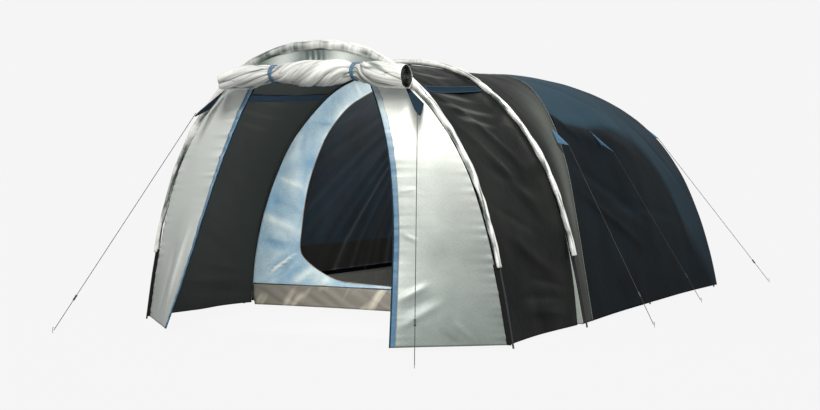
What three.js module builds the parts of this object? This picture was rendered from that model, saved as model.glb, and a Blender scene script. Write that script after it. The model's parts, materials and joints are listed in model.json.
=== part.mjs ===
// A four-person tunnel tent, pitched: four arched poles in fabric sleeves, a flysheet of sewn panels with an
// open porch, a hung inner tent with a tub groundsheet, and eight guy lines with runners and pegs.
// Millimetres, +Z up, the doorway faces -Y. The origin is on the ground, under the middle of the tent.
import * as THREE from 'three';
import { mergeVertices } from 'three/addons/utils/BufferGeometryUtils.js';

// ---------- driving dimensions ----------

// Half of a pole's arch from the foot to the crown, as x and z, for the front hoop.
const ARCH_HALF = [[1500, 0], [1428, 382], [1331, 769], [1173, 1173], [899, 1556], [497, 1856], [0, 1952]];
const ARCH_WIDTH = 1500;
const ARCH_HEIGHT = 1952;

// Where the hoops stand, and how wide (half) and high the skin line is there.
// shoulder is how much slimmer the sides are, half way up, than the front arch scaled to that size.
const FRONT = { y: 0, width: 1500, height: 1952, shoulder: 0 };
const MIDDLE = { y: 1175, width: 1507, height: 1915, shoulder: 0 };
const BEDROOM = { y: 2800, width: 1445, height: 1945, shoulder: 0 };
const REAR = { y: 4500, width: 1469, height: 1784, shoulder: 45 };

const POLE_RADIUS = 6;
const POLE_SIDES = 3; // curve segments of a half circle
const POLE_STEPS = 32;
const HOOP_POINTS = 60; // on a hoop's middle line
const POLE_FOOT_LIFT = 1.5;
const POLE_CLEARANCE = 9; // between an inside sleeve and the skin over it

const SLEEVE = { radial: 22, along: 27, wall: 2.5, endHeight: 500, steps: 32, sides: 4 };
const INNER_SLEEVE = { radial: 14, along: 16, wall: 2.5, endHeight: 260, steps: 30, sides: 3 };

const SHEET = 4; // thickness of every sheet of cloth
const SEAM_GAP = 1; // from the end of a sheet to the line that it is sewn on
const SKIN_INSET = 28; // from the middle of a pole in an outside sleeve to the middle of the skin
const HEM_HEIGHT = 30;
const ARCH_COLUMNS = 26;

// How far the skin sinks in half way between two hoops, at the hem and at the crown.
const SPANS = [
  { from: FRONT.y, to: MIDDLE.y, hem: 34, crown: 12 },
  { from: MIDDLE.y, to: BEDROOM.y, hem: 12, crown: 16 },
  { from: BEDROOM.y, to: REAR.y, hem: 18, crown: -12 },
];

// The line where the grey flysheet ends and the navy one starts leans back to the crown.
const SEAM = { footY: 1395, crownY: 2490, power: 2.6 };

const REAR_WALL = { y: REAR.y + 4, bow: 210, centreHeight: 750, rings: 4 };

// The front edge of each porch wing, from the ground up.
const DOOR_EDGE = [
  [898, -481, 30], [834, -345, 400], [768, -222, 800], [673, -122, 1200], [564, -62, 1500], [464, -28, 1700],
  [419, -16, 1778],
];
const WING = { rows: 16, columns: 5, topHeight: 1774, hoopGap: 6 };
const BINDING = { width: 30, thickness: 6, gap: 1 };

const HEADER = { halfWidth: 545, bottomHeight: 1794, bottomY: -34, topGap: 34, columns: 14, rows: 2 };

const ROLL = { left: -668, right: 806, y: -128, z: 1723, radius: 76, pinch: 15, pinchSpread: 60, sides: 12 };
const ROLL_RINGS = 6; // in each of the three lengths that the ties divide the roll into
const TIE = { left: -229, right: 423, wide: 24, gap: 2, wall: 4, sides: 12 };

// Tapes sewn flat on the porch skin: one behind the front hoop, and one along each side of the roof.
const TAPE = { thickness: 2, lift: 4 };
const FRONT_BAND = { from: 32, to: 84 };
const ROOF_STRIP = { halfWidth: 32, from: 96, fromHeight: 1640, to: 1140, toHeight: 1688, steps: 8 };

// The inner tent's front wall stands on a line that bows back between its corners, and straightens upwards.
const INNER_FRONT = {
  cornerX: 1405, cornerY: 1158, bow: 130, height: 1855, foot: 176, footShare: 0.4, columns: 40, rows: 2,
};
// Half outlines of that wall and of the arched doorway in it, as x and z, from the floor or sill to the top.
const INNER_OUTLINE = [
  [1405, 176], [1378, 400], [1303, 723], [1190, 1015], [1030, 1304], [862, 1492], [655, 1672], [480, 1764],
  [250, 1830], [0, 1855],
];
const DOOR_OUTLINE = [
  [0, 190], [435, 208], [640, 228], [838, 320], [952, 420], [966, 480], [947, 633], [914, 826], [861, 1017],
  [780, 1208], [671, 1395], [488, 1579], [320, 1672], [160, 1730], [0, 1752],
];

// The groundsheet's tray follows that line, and narrows a little behind it.
const TUB = {
  wall: 4, height: 165, edgeHeight: 30, edgeSlope: 70, sideX: 1345, sideY: 1700, rearX: 1330, rearY: 4380,
  corner: 90, steps: 8,
};
const CABIN = {
  startY: 1310, rearY: 4380, inset: 105, foot: 172, from: 0.045, columns: 22, rows: 6, capRings: 3,
};

const LINE_RADIUS = 2.25;
const LINE_SIDES = 4;
const LINE_STEPS = 4;
const RUNNER = { bore: 3.2, radius: 8, length: 44, sides: 8 };
const PEG = { radius: 3.5, height: 42, headRadius: 8, headHeight: 8, sides: 8 };
const LINE_END_HEIGHT = 18;
const TAB_THICKNESS = 3;

// Each guy point: the heights and y of the two ends of the tab's sewn edge, the tab's tip, the peg, and
// how far the runner is from the peg.
const GUYS = {
  front_left: { sewn: [[1672, -36], [1545, -34]], tip: [-888, -157, 1504], peg: [-1520, -910], slide: 260 },
  front_right: { sewn: [[1672, -36], [1545, -34]], tip: [902, -157, 1476], peg: [1340, -950], slide: 260 },
  side_left: { sewn: [[1433, 1775], [1300, 1690]], tip: [-1135, 1690, 1300], peg: [-1911, 1422], slide: 240 },
  side_right: { sewn: [[1433, 1775], [1300, 1690]], tip: [1135, 1690, 1300], peg: [1911, 1422], slide: 240 },
  mid_left: { sewn: [[1415, 2550], [1300, 2610]], tip: [-1110, 2665, 1260], peg: [-1714, 3138], slide: 240 },
  mid_right: { sewn: [[1415, 2550], [1300, 2610]], tip: [1110, 2665, 1260], peg: [1714, 3138], slide: 240 },
  rear_left: { sewn: [[1500, 4420], [1400, 4440]], tip: [-850, 4500, 1396], peg: [-1747, 5172], slide: 240 },
  rear_right: { sewn: [[1500, 4420], [1400, 4440]], tip: [850, 4500, 1396], peg: [1747, 5172], slide: 240 },
};
const TAB_LIFT = 4; // from the skin's outside to the middle of a tab's sewn edge

const ZIP_PULL = { x: 505, y: 22, top: 1716, length: 56, width: 12, thickness: 3, taper: 4 };

// ---------- materials ----------

function finish(color, roughness, metalness = 0) {
  return new THREE.MeshStandardMaterial({ color, roughness, metalness });
}

const MATERIALS = {
  silver: finish(0xc9cfca, 0.42, 0.25),
  charcoal: finish(0x3a3c3b, 0.6),
  navy: finish(0x16232e, 0.6),
  blue: finish(0x86a9c4, 0.8),
  navyTape: finish(0x24445c, 0.75),
  lightBlue: finish(0x9ab6c8, 0.85),
  cabin: finish(0x1c303f, 0.8),
  groundsheet: finish(0x8a857b, 0.7),
  pole: finish(0x2b2b2a, 0.35),
  line: finish(0x5a5a58, 0.7),
  plastic: finish(0x303234, 0.5),
  steel: finish(0x8c9092, 0.35, 1),
};

// ---------- the shape of the skin ----------

const archPoints = [
  ...ARCH_HALF.map(([x, z]) => new THREE.Vector3(x, 0, z)),
  ...ARCH_HALF.slice(0, -1).reverse().map(([x, z]) => new THREE.Vector3(-x, 0, z)),
];
const ARCH = new THREE.CatmullRomCurve3(archPoints);
ARCH.arcLengthDivisions = 600;

/** A value between two, by a share from 0 to 1. */
const mix = (a, b, share) => a + (b - a) * share;

/** The width, height and shoulder of the skin line at y, smooth through the four hoops. */
function stationAt(y) {
  const stations = [FRONT, MIDDLE, BEDROOM, REAR];
  const last = stations.length - 1;
  const place = Math.min(Math.max(stations.findIndex((station) => station.y >= y), 1), last);
  const index = y > REAR.y ? last : place;
  const before = stations[index - 1];
  const after = stations[index];
  const share = (y - before.y) / (after.y - before.y);
  const drop = index === last ? share * share : share;
  return {
    width: mix(before.width, after.width, share),
    height: mix(before.height, after.height, drop),
    shoulder: mix(before.shoulder, after.shoulder, share),
  };
}

/** A point of the arch at y, at share t from the right foot to the left one, moved in by inset. */
function archPoint(t, y, inset) {
  const { width, height, shoulder } = stationAt(y);
  const point = ARCH.getPointAt(t);
  const tangent = ARCH.getTangentAt(t);
  const scaleX = width / ARCH_WIDTH;
  const scaleZ = height / ARCH_HEIGHT;
  const slimmer = shoulder * Math.sin(2 * Math.PI * Math.min(t, 1 - t)) ** 2;
  const inward = new THREE.Vector2(-tangent.z * scaleZ, tangent.x * scaleX).normalize();
  return new THREE.Vector3(
    point.x * scaleX - Math.sign(point.x) * slimmer + inward.x * inset,
    y,
    point.z * scaleZ + inward.y * inset,
  );
}

/** The middle of the skin, which sinks in between the hoops, or a tape's place at a lift over it. */
function skinPoint(t, y, lift = 0) {
  const { from, to, hem, crown } = SPANS.find((span) => y <= span.to) ?? SPANS[SPANS.length - 1];
  const along = Math.sin(Math.PI * THREE.MathUtils.clamp((y - from) / (to - from), 0, 1));
  const point = archPoint(t, y, SKIN_INSET - lift + mix(hem, crown, Math.sin(Math.PI * t)) * along);
  return point.setZ(Math.max(point.z, HEM_HEIGHT));
}

/** The value from low to high where a rising function reaches a goal. */
function reach(rising, goal, low, high) {
  const HALVINGS = 40;
  let [start, end] = [low, high];
  for (let i = 0; i < HALVINGS; i += 1) {
    const middle = (start + end) / 2;
    if (rising(middle) < goal) start = middle;
    else end = middle;
  }
  return end;
}

/** The share of the arch, on the right side, where the skin line at y reaches a height. */
const shareAtHeight = (z, y) => reach((t) => archPoint(t, y, SKIN_INSET).z, z, 0, 0.5);
const hemShare = (y) => shareAtHeight(HEM_HEIGHT, y);

/** Where the grey flysheet meets the navy one. */
function seamY(t) {
  const height = ARCH.getPointAt(t).z / ARCH_HEIGHT;
  return mix(SEAM.footY, SEAM.crownY, height ** SEAM.power);
}

// ---------- closed solids from grids of points ----------

/** A geometry from triangles of points, with shared corners merged and its faces pointing out. */
function solidOf(triangles) {
  const flat = triangles.flat().flatMap((point) => [point.x, point.y, point.z]);
  let geometry = new THREE.BufferGeometry();
  geometry.setAttribute('position', new THREE.Float32BufferAttribute(flat, 3));
  geometry = mergeVertices(geometry, 1e-3);
  const index = [...geometry.index.array];
  const kept = [];
  for (let i = 0; i < index.length; i += 3) {
    const [a, b, c] = index.slice(i, i + 3);
    if (a !== b && b !== c && c !== a) kept.push([a, b, c]);
  }
  const at = (i) => new THREE.Vector3().fromBufferAttribute(geometry.attributes.position, i);
  const volume = kept.reduce((sum, [a, b, c]) => sum + at(a).dot(at(b).cross(at(c))), 0);
  geometry.setIndex(kept.flatMap(([a, b, c]) => (volume < 0 ? [a, c, b] : [a, b, c])));
  geometry.computeVertexNormals();
  return geometry;
}

/** The solid between two grids of points, grid[row][column]; wraps joins the last column to the first. */
function solidBetween(front, back, wraps = false) {
  const triangles = [];
  const rows = front.length;
  const columns = front[0].length;
  const quad = (a, b, c, d) => triangles.push([a, b, c], [a, c, d]);
  const spans = wraps ? columns : columns - 1;
  for (let row = 0; row < rows - 1; row += 1) {
    for (let column = 0; column < spans; column += 1) {
      const next = (column + 1) % columns;
      quad(front[row][column], front[row][next], front[row + 1][next], front[row + 1][column]);
      quad(back[row][column], back[row + 1][column], back[row + 1][next], back[row][next]);
    }
  }
  for (let column = 0; column < spans; column += 1) {
    const next = (column + 1) % columns;
    const end = rows - 1;
    quad(front[0][column], back[0][column], back[0][next], front[0][next]);
    quad(front[end][column], front[end][next], back[end][next], back[end][column]);
  }
  if (!wraps) {
    const end = columns - 1;
    for (let row = 0; row < rows - 1; row += 1) {
      quad(front[row][0], front[row + 1][0], back[row + 1][0], back[row][0]);
      quad(front[row][end], back[row][end], back[row + 1][end], front[row + 1][end]);
    }
  }
  return solidOf(triangles);
}

/** A sheet of a given thickness on the surface point(u, v), u and v from 0 to 1. */
function sheet(point, columns, rows, thickness = SHEET) {
  const STEP = 1e-3;
  const front = [];
  const back = [];
  for (let row = 0; row <= rows; row += 1) {
    const v = row / rows;
    front.push([]);
    back.push([]);
    for (let column = 0; column <= columns; column += 1) {
      const u = column / columns;
      const here = point(u, v);
      const alongU = point(Math.min(u + STEP, 1), v).sub(point(Math.max(u - STEP, 0), v));
      const alongV = point(u, Math.min(v + STEP, 1)).sub(point(u, Math.max(v - STEP, 0)));
      const out = alongU.cross(alongV).setLength(thickness / 2);
      front[row].push(here.clone().add(out));
      back[row].push(here.clone().sub(out));
    }
  }
  return solidBetween(front, back);
}

/** A sheet of the thickness of cloth along Y, from rings of points, ring[row][column], each ring closed. */
function ringSheet(rings) {
  const movedPoint = (point, distance) => point.clone().setY(point.y + distance);
  const moved = (distance) => rings.map((ring) => ring.map((point) => movedPoint(point, distance)));
  return solidBetween(moved(-SHEET / 2), moved(SHEET / 2), true);
}

/** Evenly spaced points on a smooth line through the given x and z pairs. */
function smoothLine(pairs, count) {
  const curve = new THREE.CatmullRomCurve3(pairs.map(([x, z]) => new THREE.Vector3(x, 0, z)));
  return curve.getSpacedPoints(count);
}

/** The other half of an outline that starts and ends on the middle line, mirrored and in order. */
const mirrored = (points) => points.slice(1, -1).reverse().map((point) => point.clone().setX(-point.x));

// ---------- the pieces ----------

const tent = new THREE.Group();
const structure = new THREE.Group();
const guying = new THREE.Group();

function add(group, name, geometry, material) {
  const mesh = new THREE.Mesh(geometry, material);
  mesh.name = name;
  group.add(mesh);
  return mesh;
}

/** An ellipse, with an ellipse hole when a wall is given. */
function ellipse(radiusX, radiusY, wall = 0) {
  const FULL = 2 * Math.PI;
  const shape = new THREE.Shape().absellipse(0, 0, radiusX, radiusY, 0, FULL);
  if (wall) shape.holes.push(new THREE.Path().absellipse(0, 0, radiusX - wall, radiusY - wall, 0, FULL));
  return shape;
}

/** A section swept along a curve, closed at both ends. */
function tube(shape, extrudePath, steps, curveSegments) {
  const options = { extrudePath, steps, curveSegments, bevelEnabled: false };
  const geometry = new THREE.ExtrudeGeometry(shape, options);
  geometry.deleteAttribute('normal');
  geometry.deleteAttribute('uv');
  const merged = mergeVertices(geometry, 1e-3);
  merged.computeVertexNormals();
  return merged;
}

/** The middle line of a hoop's pole, at the given inset from the skin line. */
function poleCurve(hoop, inset) {
  const shares = Array.from({ length: HOOP_POINTS + 1 }, (_, i) => i / HOOP_POINTS);
  const points = shares.map((share) => archPoint(share, hoop.y, inset));
  points.forEach((point) => point.setZ(Math.max(point.z, POLE_FOOT_LIFT)));
  return new THREE.CatmullRomCurve3(points);
}

function addHoop(name, hoop, inset, sleeve, material) {
  const curve = poleCurve(hoop, inset);
  const rod = ellipse(POLE_RADIUS, POLE_RADIUS);
  add(structure, `${name}_pole`, tube(rod, curve, POLE_STEPS, POLE_SIDES), MATERIALS.pole);
  const covered = curve.getSpacedPoints(HOOP_POINTS).filter((point) => point.z >= sleeve.endHeight);
  const section = ellipse(sleeve.along, sleeve.radial, sleeve.wall);
  const sleeveCurve = new THREE.CatmullRomCurve3(covered);
  add(structure, `${name}_sleeve`, tube(section, sleeveCurve, sleeve.steps, sleeve.sides), material);
}

const INSIDE = SKIN_INSET + SHEET / 2 + INNER_SLEEVE.radial + POLE_CLEARANCE;
addHoop('front', FRONT, 0, SLEEVE, MATERIALS.silver);
addHoop('middle', MIDDLE, 0, SLEEVE, MATERIALS.silver);
addHoop('bedroom', BEDROOM, INSIDE, INNER_SLEEVE, MATERIALS.navy);
addHoop('rear', { ...REAR, y: REAR.y - INNER_SLEEVE.along - 4 }, INSIDE, INNER_SLEEVE, MATERIALS.navy);

/** A panel of the flysheet from hem to hem, between two lines across the tent. */
function addPanel(name, lineFrom, lineTo, rows, material) {
  const surface = (u, v) => {
    const hem = hemShare(mix(lineFrom(0), lineTo(0), v));
    const t = mix(hem, 1 - hem, u);
    return skinPoint(t, mix(lineFrom(t), lineTo(t), v));
  };
  add(structure, name, sheet(surface, ARCH_COLUMNS, rows), material);
}

const across = (y) => () => y;
const seam = (gap) => (t) => seamY(t) + gap;
addPanel('porch_canopy', across(FRONT.y + SEAM_GAP), across(MIDDLE.y - SEAM_GAP), 5, MATERIALS.charcoal);
addPanel('grey_canopy', across(MIDDLE.y + SEAM_GAP), seam(-SEAM_GAP), 3, MATERIALS.charcoal);
addPanel('bedroom_canopy', seam(SEAM_GAP), across(REAR.y), 8, MATERIALS.navy);

/** The rear wall, a sheet laced to the rear hoop that bows out behind it. */
function rearWall() {
  const hem = hemShare(REAR.y);
  const arch = Array.from({ length: ARCH_COLUMNS + 1 }, (_, i) => {
    const t = mix(hem, 1 - hem, i / ARCH_COLUMNS);
    return skinPoint(t, REAR.y).setY(REAR_WALL.y);
  });
  const footLeft = arch[arch.length - 1];
  const base = [1, 2, 3, 4].map((i) => footLeft.clone().lerp(arch[0], i / 5));
  const outline = [...arch, ...base];
  const centre = new THREE.Vector3(0, outline[0].y, REAR_WALL.centreHeight);
  const rings = Array.from({ length: REAR_WALL.rings + 1 }, (_, i) => {
    const share = 1 - i / REAR_WALL.rings;
    const bow = REAR_WALL.bow * Math.sin((Math.PI / 2) * (1 - share));
    return outline.map((point) => centre.clone().lerp(point, share).setY(point.y + bow));
  });
  return ringSheet(rings);
}
add(structure, 'rear_wall', rearWall(), MATERIALS.navy);

// ---------- porch ----------

const DOOR_CURVE = new THREE.CatmullRomCurve3(DOOR_EDGE.map(([x, y, z]) => new THREE.Vector3(x, y, z)));

const doorEdgeAt = (z) => DOOR_CURVE.getPoint(reach((share) => DOOR_CURVE.getPoint(share).z, z, 0, 1));

/** A point of a wing: across from the hoop to the door edge, up from the hem. */
function wingPoint(side, across, up) {
  const z = mix(HEM_HEIGHT, WING.topHeight, up);
  const inset = SKIN_INSET + WING.hoopGap / 2;
  const hoop = archPoint(shareAtHeight(z, FRONT.y), FRONT.y, inset).setY(-WING.hoopGap);
  const point = hoop.lerp(doorEdgeAt(z), across);
  return point.setX(point.x * side);
}

for (const [name, side] of [['left', -1], ['right', 1]]) {
  const span = (up) => wingPoint(1, 0, up).distanceTo(wingPoint(1, 1, up));
  const clothEnd = (up) => 1 - (BINDING.width + BINDING.gap) / span(up);
  const cloth = sheet((u, v) => wingPoint(side, u * clothEnd(v), v), WING.columns, WING.rows);
  add(structure, `${name}_wing`, cloth, MATERIALS.silver);
  const tapeStart = (up) => 1 - BINDING.width / span(up);
  const tape = sheet((u, v) => wingPoint(side, mix(tapeStart(v), 1, u), v), 1, WING.rows, BINDING.thickness);
  add(structure, `${name}_door_binding`, tape, MATERIALS.blue);
}

/** The panel over the doorway, from the front hoop down to the roll. */
function headerPoint(u, v) {
  const x = mix(-HEADER.halfWidth, HEADER.halfWidth, u);
  const top = ARCH.getPointAt(reach((t) => -ARCH.getPointAt(t).x, -x, 0, 1)).z - HEADER.topGap;
  return new THREE.Vector3(x, mix(HEADER.bottomY, -WING.hoopGap, v), mix(HEADER.bottomHeight, top, v));
}
add(structure, 'porch_header', sheet(headerPoint, HEADER.columns, HEADER.rows), MATERIALS.silver);

/** The rolled-up door: thick in the middle, pinched where the two ties hold it. */
function rollRadius(x) {
  const pinchAt = (place) => Math.exp(-(((x - place) / ROLL.pinchSpread) ** 2));
  return ROLL.radius - ROLL.pinch * (pinchAt(TIE.left) + pinchAt(TIE.right));
}

function doorRoll() {
  const profile = [new THREE.Vector2(0, ROLL.left)];
  const lengths = [[ROLL.left, TIE.left], [TIE.left, TIE.right], [TIE.right, ROLL.right]];
  for (const [from, to] of lengths) {
    for (let i = 0; i < ROLL_RINGS; i += 1) {
      const x = mix(from, to, i / ROLL_RINGS);
      profile.push(new THREE.Vector2(rollRadius(x), x));
    }
  }
  profile.push(new THREE.Vector2(rollRadius(ROLL.right), ROLL.right));
  profile.push(new THREE.Vector2(0, ROLL.right));
  return new THREE.LatheGeometry(profile, ROLL.sides);
}

/** A ring about the axis of a lathe, from its bore and outer radius and its length. */
function ring(bore, radius, length, sides) {
  const half = length / 2;
  const profile = [[bore, -half], [radius, -half], [radius, half], [bore, half], [bore, -half]];
  return new THREE.LatheGeometry(profile.map(([x, y]) => new THREE.Vector2(x, y)), sides);
}

/** Removes the seam of a lathe, so that its surface is closed. */
function closed(geometry) {
  const bare = geometry.index ? geometry.toNonIndexed() : geometry;
  const place = bare.attributes.position;
  const triangles = [];
  for (let i = 0; i < place.count; i += 3) {
    triangles.push([0, 1, 2].map((corner) => new THREE.Vector3().fromBufferAttribute(place, i + corner)));
  }
  return solidOf(triangles);
}

const QUARTER = Math.PI / 2;
const roll = add(structure, 'door_roll', closed(doorRoll()), MATERIALS.silver);
roll.position.set(0, ROLL.y, ROLL.z);
roll.rotation.z = -QUARTER;
for (const [name, x] of [['left', TIE.left], ['right', TIE.right]]) {
  const edgeRadius = Math.max(rollRadius(x - TIE.wide / 2), rollRadius(x + TIE.wide / 2));
  const bore = edgeRadius / Math.cos(Math.PI / TIE.sides) + TIE.gap;
  const band = closed(ring(bore, bore + TIE.wall, TIE.wide, TIE.sides));
  const tie = add(structure, `door_tie_${name}`, band, MATERIALS.blue);
  tie.position.set(x, ROLL.y, ROLL.z);
  tie.rotation.z = -QUARTER;
}

function frontBandPoint(u, v) {
  const hem = hemShare(FRONT.y);
  return skinPoint(mix(hem, 1 - hem, u), mix(FRONT_BAND.from, FRONT_BAND.to, v), TAPE.lift);
}
const frontBand = sheet(frontBandPoint, ARCH_COLUMNS, 1, TAPE.thickness);
add(structure, 'front_band', frontBand, MATERIALS.navyTape);

/** A tape along the porch roof on one side, which climbs a little towards the back. */
function roofStripPoint(side, u, v) {
  const y = mix(ROOF_STRIP.from, ROOF_STRIP.to, v);
  const middle = shareAtHeight(mix(ROOF_STRIP.fromHeight, ROOF_STRIP.toHeight, v), y);
  const half = ROOF_STRIP.halfWidth / ARCH.getLength();
  const point = skinPoint(mix(middle - half, middle + half, u), y, TAPE.lift);
  return point.setX(point.x * side);
}
for (const [name, side] of [['left', -1], ['right', 1]]) {
  const strip = sheet((u, v) => roofStripPoint(side, u, v), 1, ROOF_STRIP.steps, TAPE.thickness);
  add(structure, `roof_strip_${name}`, strip, MATERIALS.navyTape);
}

// ---------- inner tent ----------

/** Puts an outline's point on the bowed front of the inner tent. */
function onInnerFront(point) {
  const { cornerX, cornerY, bow, height } = INNER_FRONT;
  const bowed = bow * (1 - (point.x / cornerX) ** 2) * (1 - point.z / height);
  return point.clone().setY(cornerY + bowed);
}

/** The inner tent's front wall, a sheet with the arched doorway in it. */
function innerFront() {
  const half = INNER_FRONT.columns / 2;
  const footPoints = Math.round(half * INNER_FRONT.footShare);
  const foot = Array.from({ length: footPoints }, (_, i) => {
    return new THREE.Vector3((INNER_FRONT.cornerX * i) / footPoints, 0, INNER_FRONT.foot);
  });
  const side = [...foot, ...smoothLine(INNER_OUTLINE, half - footPoints)];
  const outline = [...side, ...mirrored(side)];
  const doorSide = smoothLine(DOOR_OUTLINE, half);
  const door = [...doorSide, ...mirrored(doorSide)];
  const rings = Array.from({ length: INNER_FRONT.rows + 1 }, (_, row) => {
    const share = row / INNER_FRONT.rows;
    return outline.map((point, i) => onInnerFront(point.clone().lerp(door[i], share)));
  });
  return ringSheet(rings);
}
add(structure, 'inner_front', innerFront(), MATERIALS.lightBlue);

/** The groundsheet, a tray with low walls whose front follows the inner tent's front wall. */
function tub() {
  const plan = [];
  for (let i = 0; i <= TUB.steps; i += 1) {
    const onFloor = new THREE.Vector3(mix(-INNER_FRONT.cornerX, INNER_FRONT.cornerX, i / TUB.steps), 0, 0);
    const { x, y } = onInnerFront(onFloor);
    plan.push(new THREE.Vector2(x, y));
  }
  const { wall, edgeHeight, edgeSlope, height, sideX, sideY, rearX, rearY, corner } = TUB;
  const side = [[sideX, sideY], [rearX, rearY - corner], [rearX - corner, rearY]];
  plan.push(...side.map(([x, y]) => new THREE.Vector2(x, y)));
  plan.push(...side.reverse().map(([x, y]) => new THREE.Vector2(-x, y)));
  const middle = new THREE.Vector2(0, (INNER_FRONT.cornerY + rearY) / 2);
  const level = (inset, z) => plan.map((point) => {
    const { x, y } = point.clone().sub(middle).multiplyScalar(1 - inset / sideX).add(middle);
    return new THREE.Vector3(x, y, z);
  });
  const outside = [[sideX, 0], [edgeSlope, 0], [0, edgeHeight], [0, height]];
  const inside = [[sideX, wall], [edgeSlope, wall], [wall, edgeHeight + wall], [wall, height]];
  const rings = (steps) => steps.map(([inset, z]) => level(inset, z));
  return solidBetween(rings(outside), rings(inside), true);
}
add(structure, 'groundsheet', tub(), MATERIALS.groundsheet);

/** The hung sleeping cabin: walls and roof from the front wall back, and a closed end. */
function cabin() {
  const layer = (inset, endY) => {
    const rows = [];
    for (let row = 0; row <= CABIN.rows; row += 1) {
      const share = row / CABIN.rows;
      rows.push(Array.from({ length: CABIN.columns + 1 }, (_, i) => {
        const t = mix(CABIN.from, 1 - CABIN.from, i / CABIN.columns);
        const point = archPoint(t, mix(CABIN.startY, endY, share), inset);
        return point.setZ(Math.max(point.z, CABIN.foot));
      }));
    }
    const end = rows[rows.length - 1];
    const low = new THREE.Vector3(0, endY, end[0].z);
    for (let ringIndex = 1; ringIndex <= CABIN.capRings; ringIndex += 1) {
      rows.push(end.map((point) => point.clone().lerp(low, ringIndex / CABIN.capRings)));
    }
    return rows;
  };
  return solidBetween(layer(CABIN.inset, CABIN.rearY), layer(CABIN.inset + SHEET, CABIN.rearY - SHEET));
}
add(structure, 'inner_cabin', cabin(), MATERIALS.cabin);

// ---------- guy lines ----------

/** A flat triangle of webbing with its two sewn corners and its tip. */
function tabSolid(cornerA, cornerB, tip) {
  const out = cornerB.clone().sub(cornerA).cross(tip.clone().sub(cornerA)).setLength(TAB_THICKNESS / 2);
  const layer = (sign) => {
    const moved = [cornerA, cornerB, tip].map((point) => point.clone().addScaledVector(out, sign));
    return [[moved[0], moved[1]], [moved[2], moved[2]]];
  };
  return solidBetween(layer(1), layer(-1));
}

function pegSolid() {
  const { radius, height, headRadius, headHeight } = PEG;
  const neck = height - headHeight;
  const pin = [[0, 0], [radius, 0], [radius, neck]];
  const profile = [...pin, [headRadius, neck], [headRadius, height], [0, height]];
  return new THREE.LatheGeometry(profile.map(([x, z]) => new THREE.Vector2(x, z)), PEG.sides);
}

/** A point of a tab's sewn edge: in front of the front sleeve, or just outside the skin. */
function sewnPoint(side, height, y) {
  const inset = y < 0 ? 0 : SKIN_INSET - SHEET / 2 - TAB_LIFT;
  const point = archPoint(shareAtHeight(height, Math.max(y, 0)), Math.max(y, 0), inset);
  return point.set(side * point.x, y, point.z);
}

const UP = new THREE.Vector3(0, 1, 0);
const LINE_GAP = 1.5;
for (const [name, guy] of Object.entries(GUYS)) {
  const tip = new THREE.Vector3(...guy.tip);
  const [cornerA, cornerB] = guy.sewn.map(([height, y]) => sewnPoint(Math.sign(tip.x), height, y));
  const webbing = name.startsWith('front') ? MATERIALS.navyTape : MATERIALS.blue;
  add(structure, `${name}_tab`, tabSolid(cornerA, cornerB, tip), webbing);

  const pegFoot = new THREE.Vector3(...guy.peg, 0);
  const inward = tip.clone().sub(pegFoot).setZ(0).normalize();
  const besidePeg = PEG.radius + LINE_GAP + LINE_RADIUS;
  const bottom = pegFoot.clone().addScaledVector(inward, besidePeg).setZ(LINE_END_HEIGHT);
  const direction = tip.clone().sub(bottom).normalize();
  const top = tip.clone().addScaledVector(direction, -LINE_GAP);
  const line = new THREE.LineCurve3(bottom, top);
  const cord = ellipse(LINE_RADIUS, LINE_RADIUS);
  add(guying, `${name}_line`, tube(cord, line, LINE_STEPS, LINE_SIDES), MATERIALS.line);

  const sleeve = closed(ring(RUNNER.bore, RUNNER.radius, RUNNER.length, RUNNER.sides));
  const runner = add(guying, `${name}_runner`, sleeve, MATERIALS.plastic);
  runner.position.copy(bottom).addScaledVector(direction, guy.slide);
  runner.quaternion.setFromUnitVectors(UP, direction);

  const peg = add(guying, `${name}_peg`, closed(pegSolid()), MATERIALS.steel);
  peg.position.copy(pegFoot);
  peg.rotation.x = QUARTER;
}

// ---------- zip pulls ----------

/** A flat pull that hangs from the slider at the top of a wing's zip, on the inside. */
function pullSolid() {
  const shape = new THREE.Shape();
  const half = ZIP_PULL.width / 2;
  shape.moveTo(-half + ZIP_PULL.taper, 0);
  shape.lineTo(half - ZIP_PULL.taper, 0);
  shape.lineTo(half, -ZIP_PULL.length);
  shape.lineTo(-half, -ZIP_PULL.length);
  shape.closePath();
  return new THREE.ExtrudeGeometry(shape, { depth: ZIP_PULL.thickness, bevelEnabled: false });
}
for (const [name, side] of [['left', -1], ['right', 1]]) {
  const pull = add(structure, `${name}_zip_pull`, closed(pullSolid()), MATERIALS.plastic);
  pull.position.set(side * ZIP_PULL.x, ZIP_PULL.y + ZIP_PULL.thickness / 2, ZIP_PULL.top);
  pull.rotation.x = QUARTER;
}

// ---------- the origin ----------

tent.add(structure, guying);
const box = new THREE.Box3().setFromObject(structure);
tent.position.set(-(box.min.x + box.max.x) / 2, -(box.min.y + box.max.y) / 2, 0);

export default tent;
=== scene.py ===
"""A four-person tunnel tent, pitched: arched poles in silver sleeves, a sewn flysheet with an open porch, a
hung inner tent with its groundsheet, and eight guy lines. Metres, +Z up, the doorway faces -Y."""

import math

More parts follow.
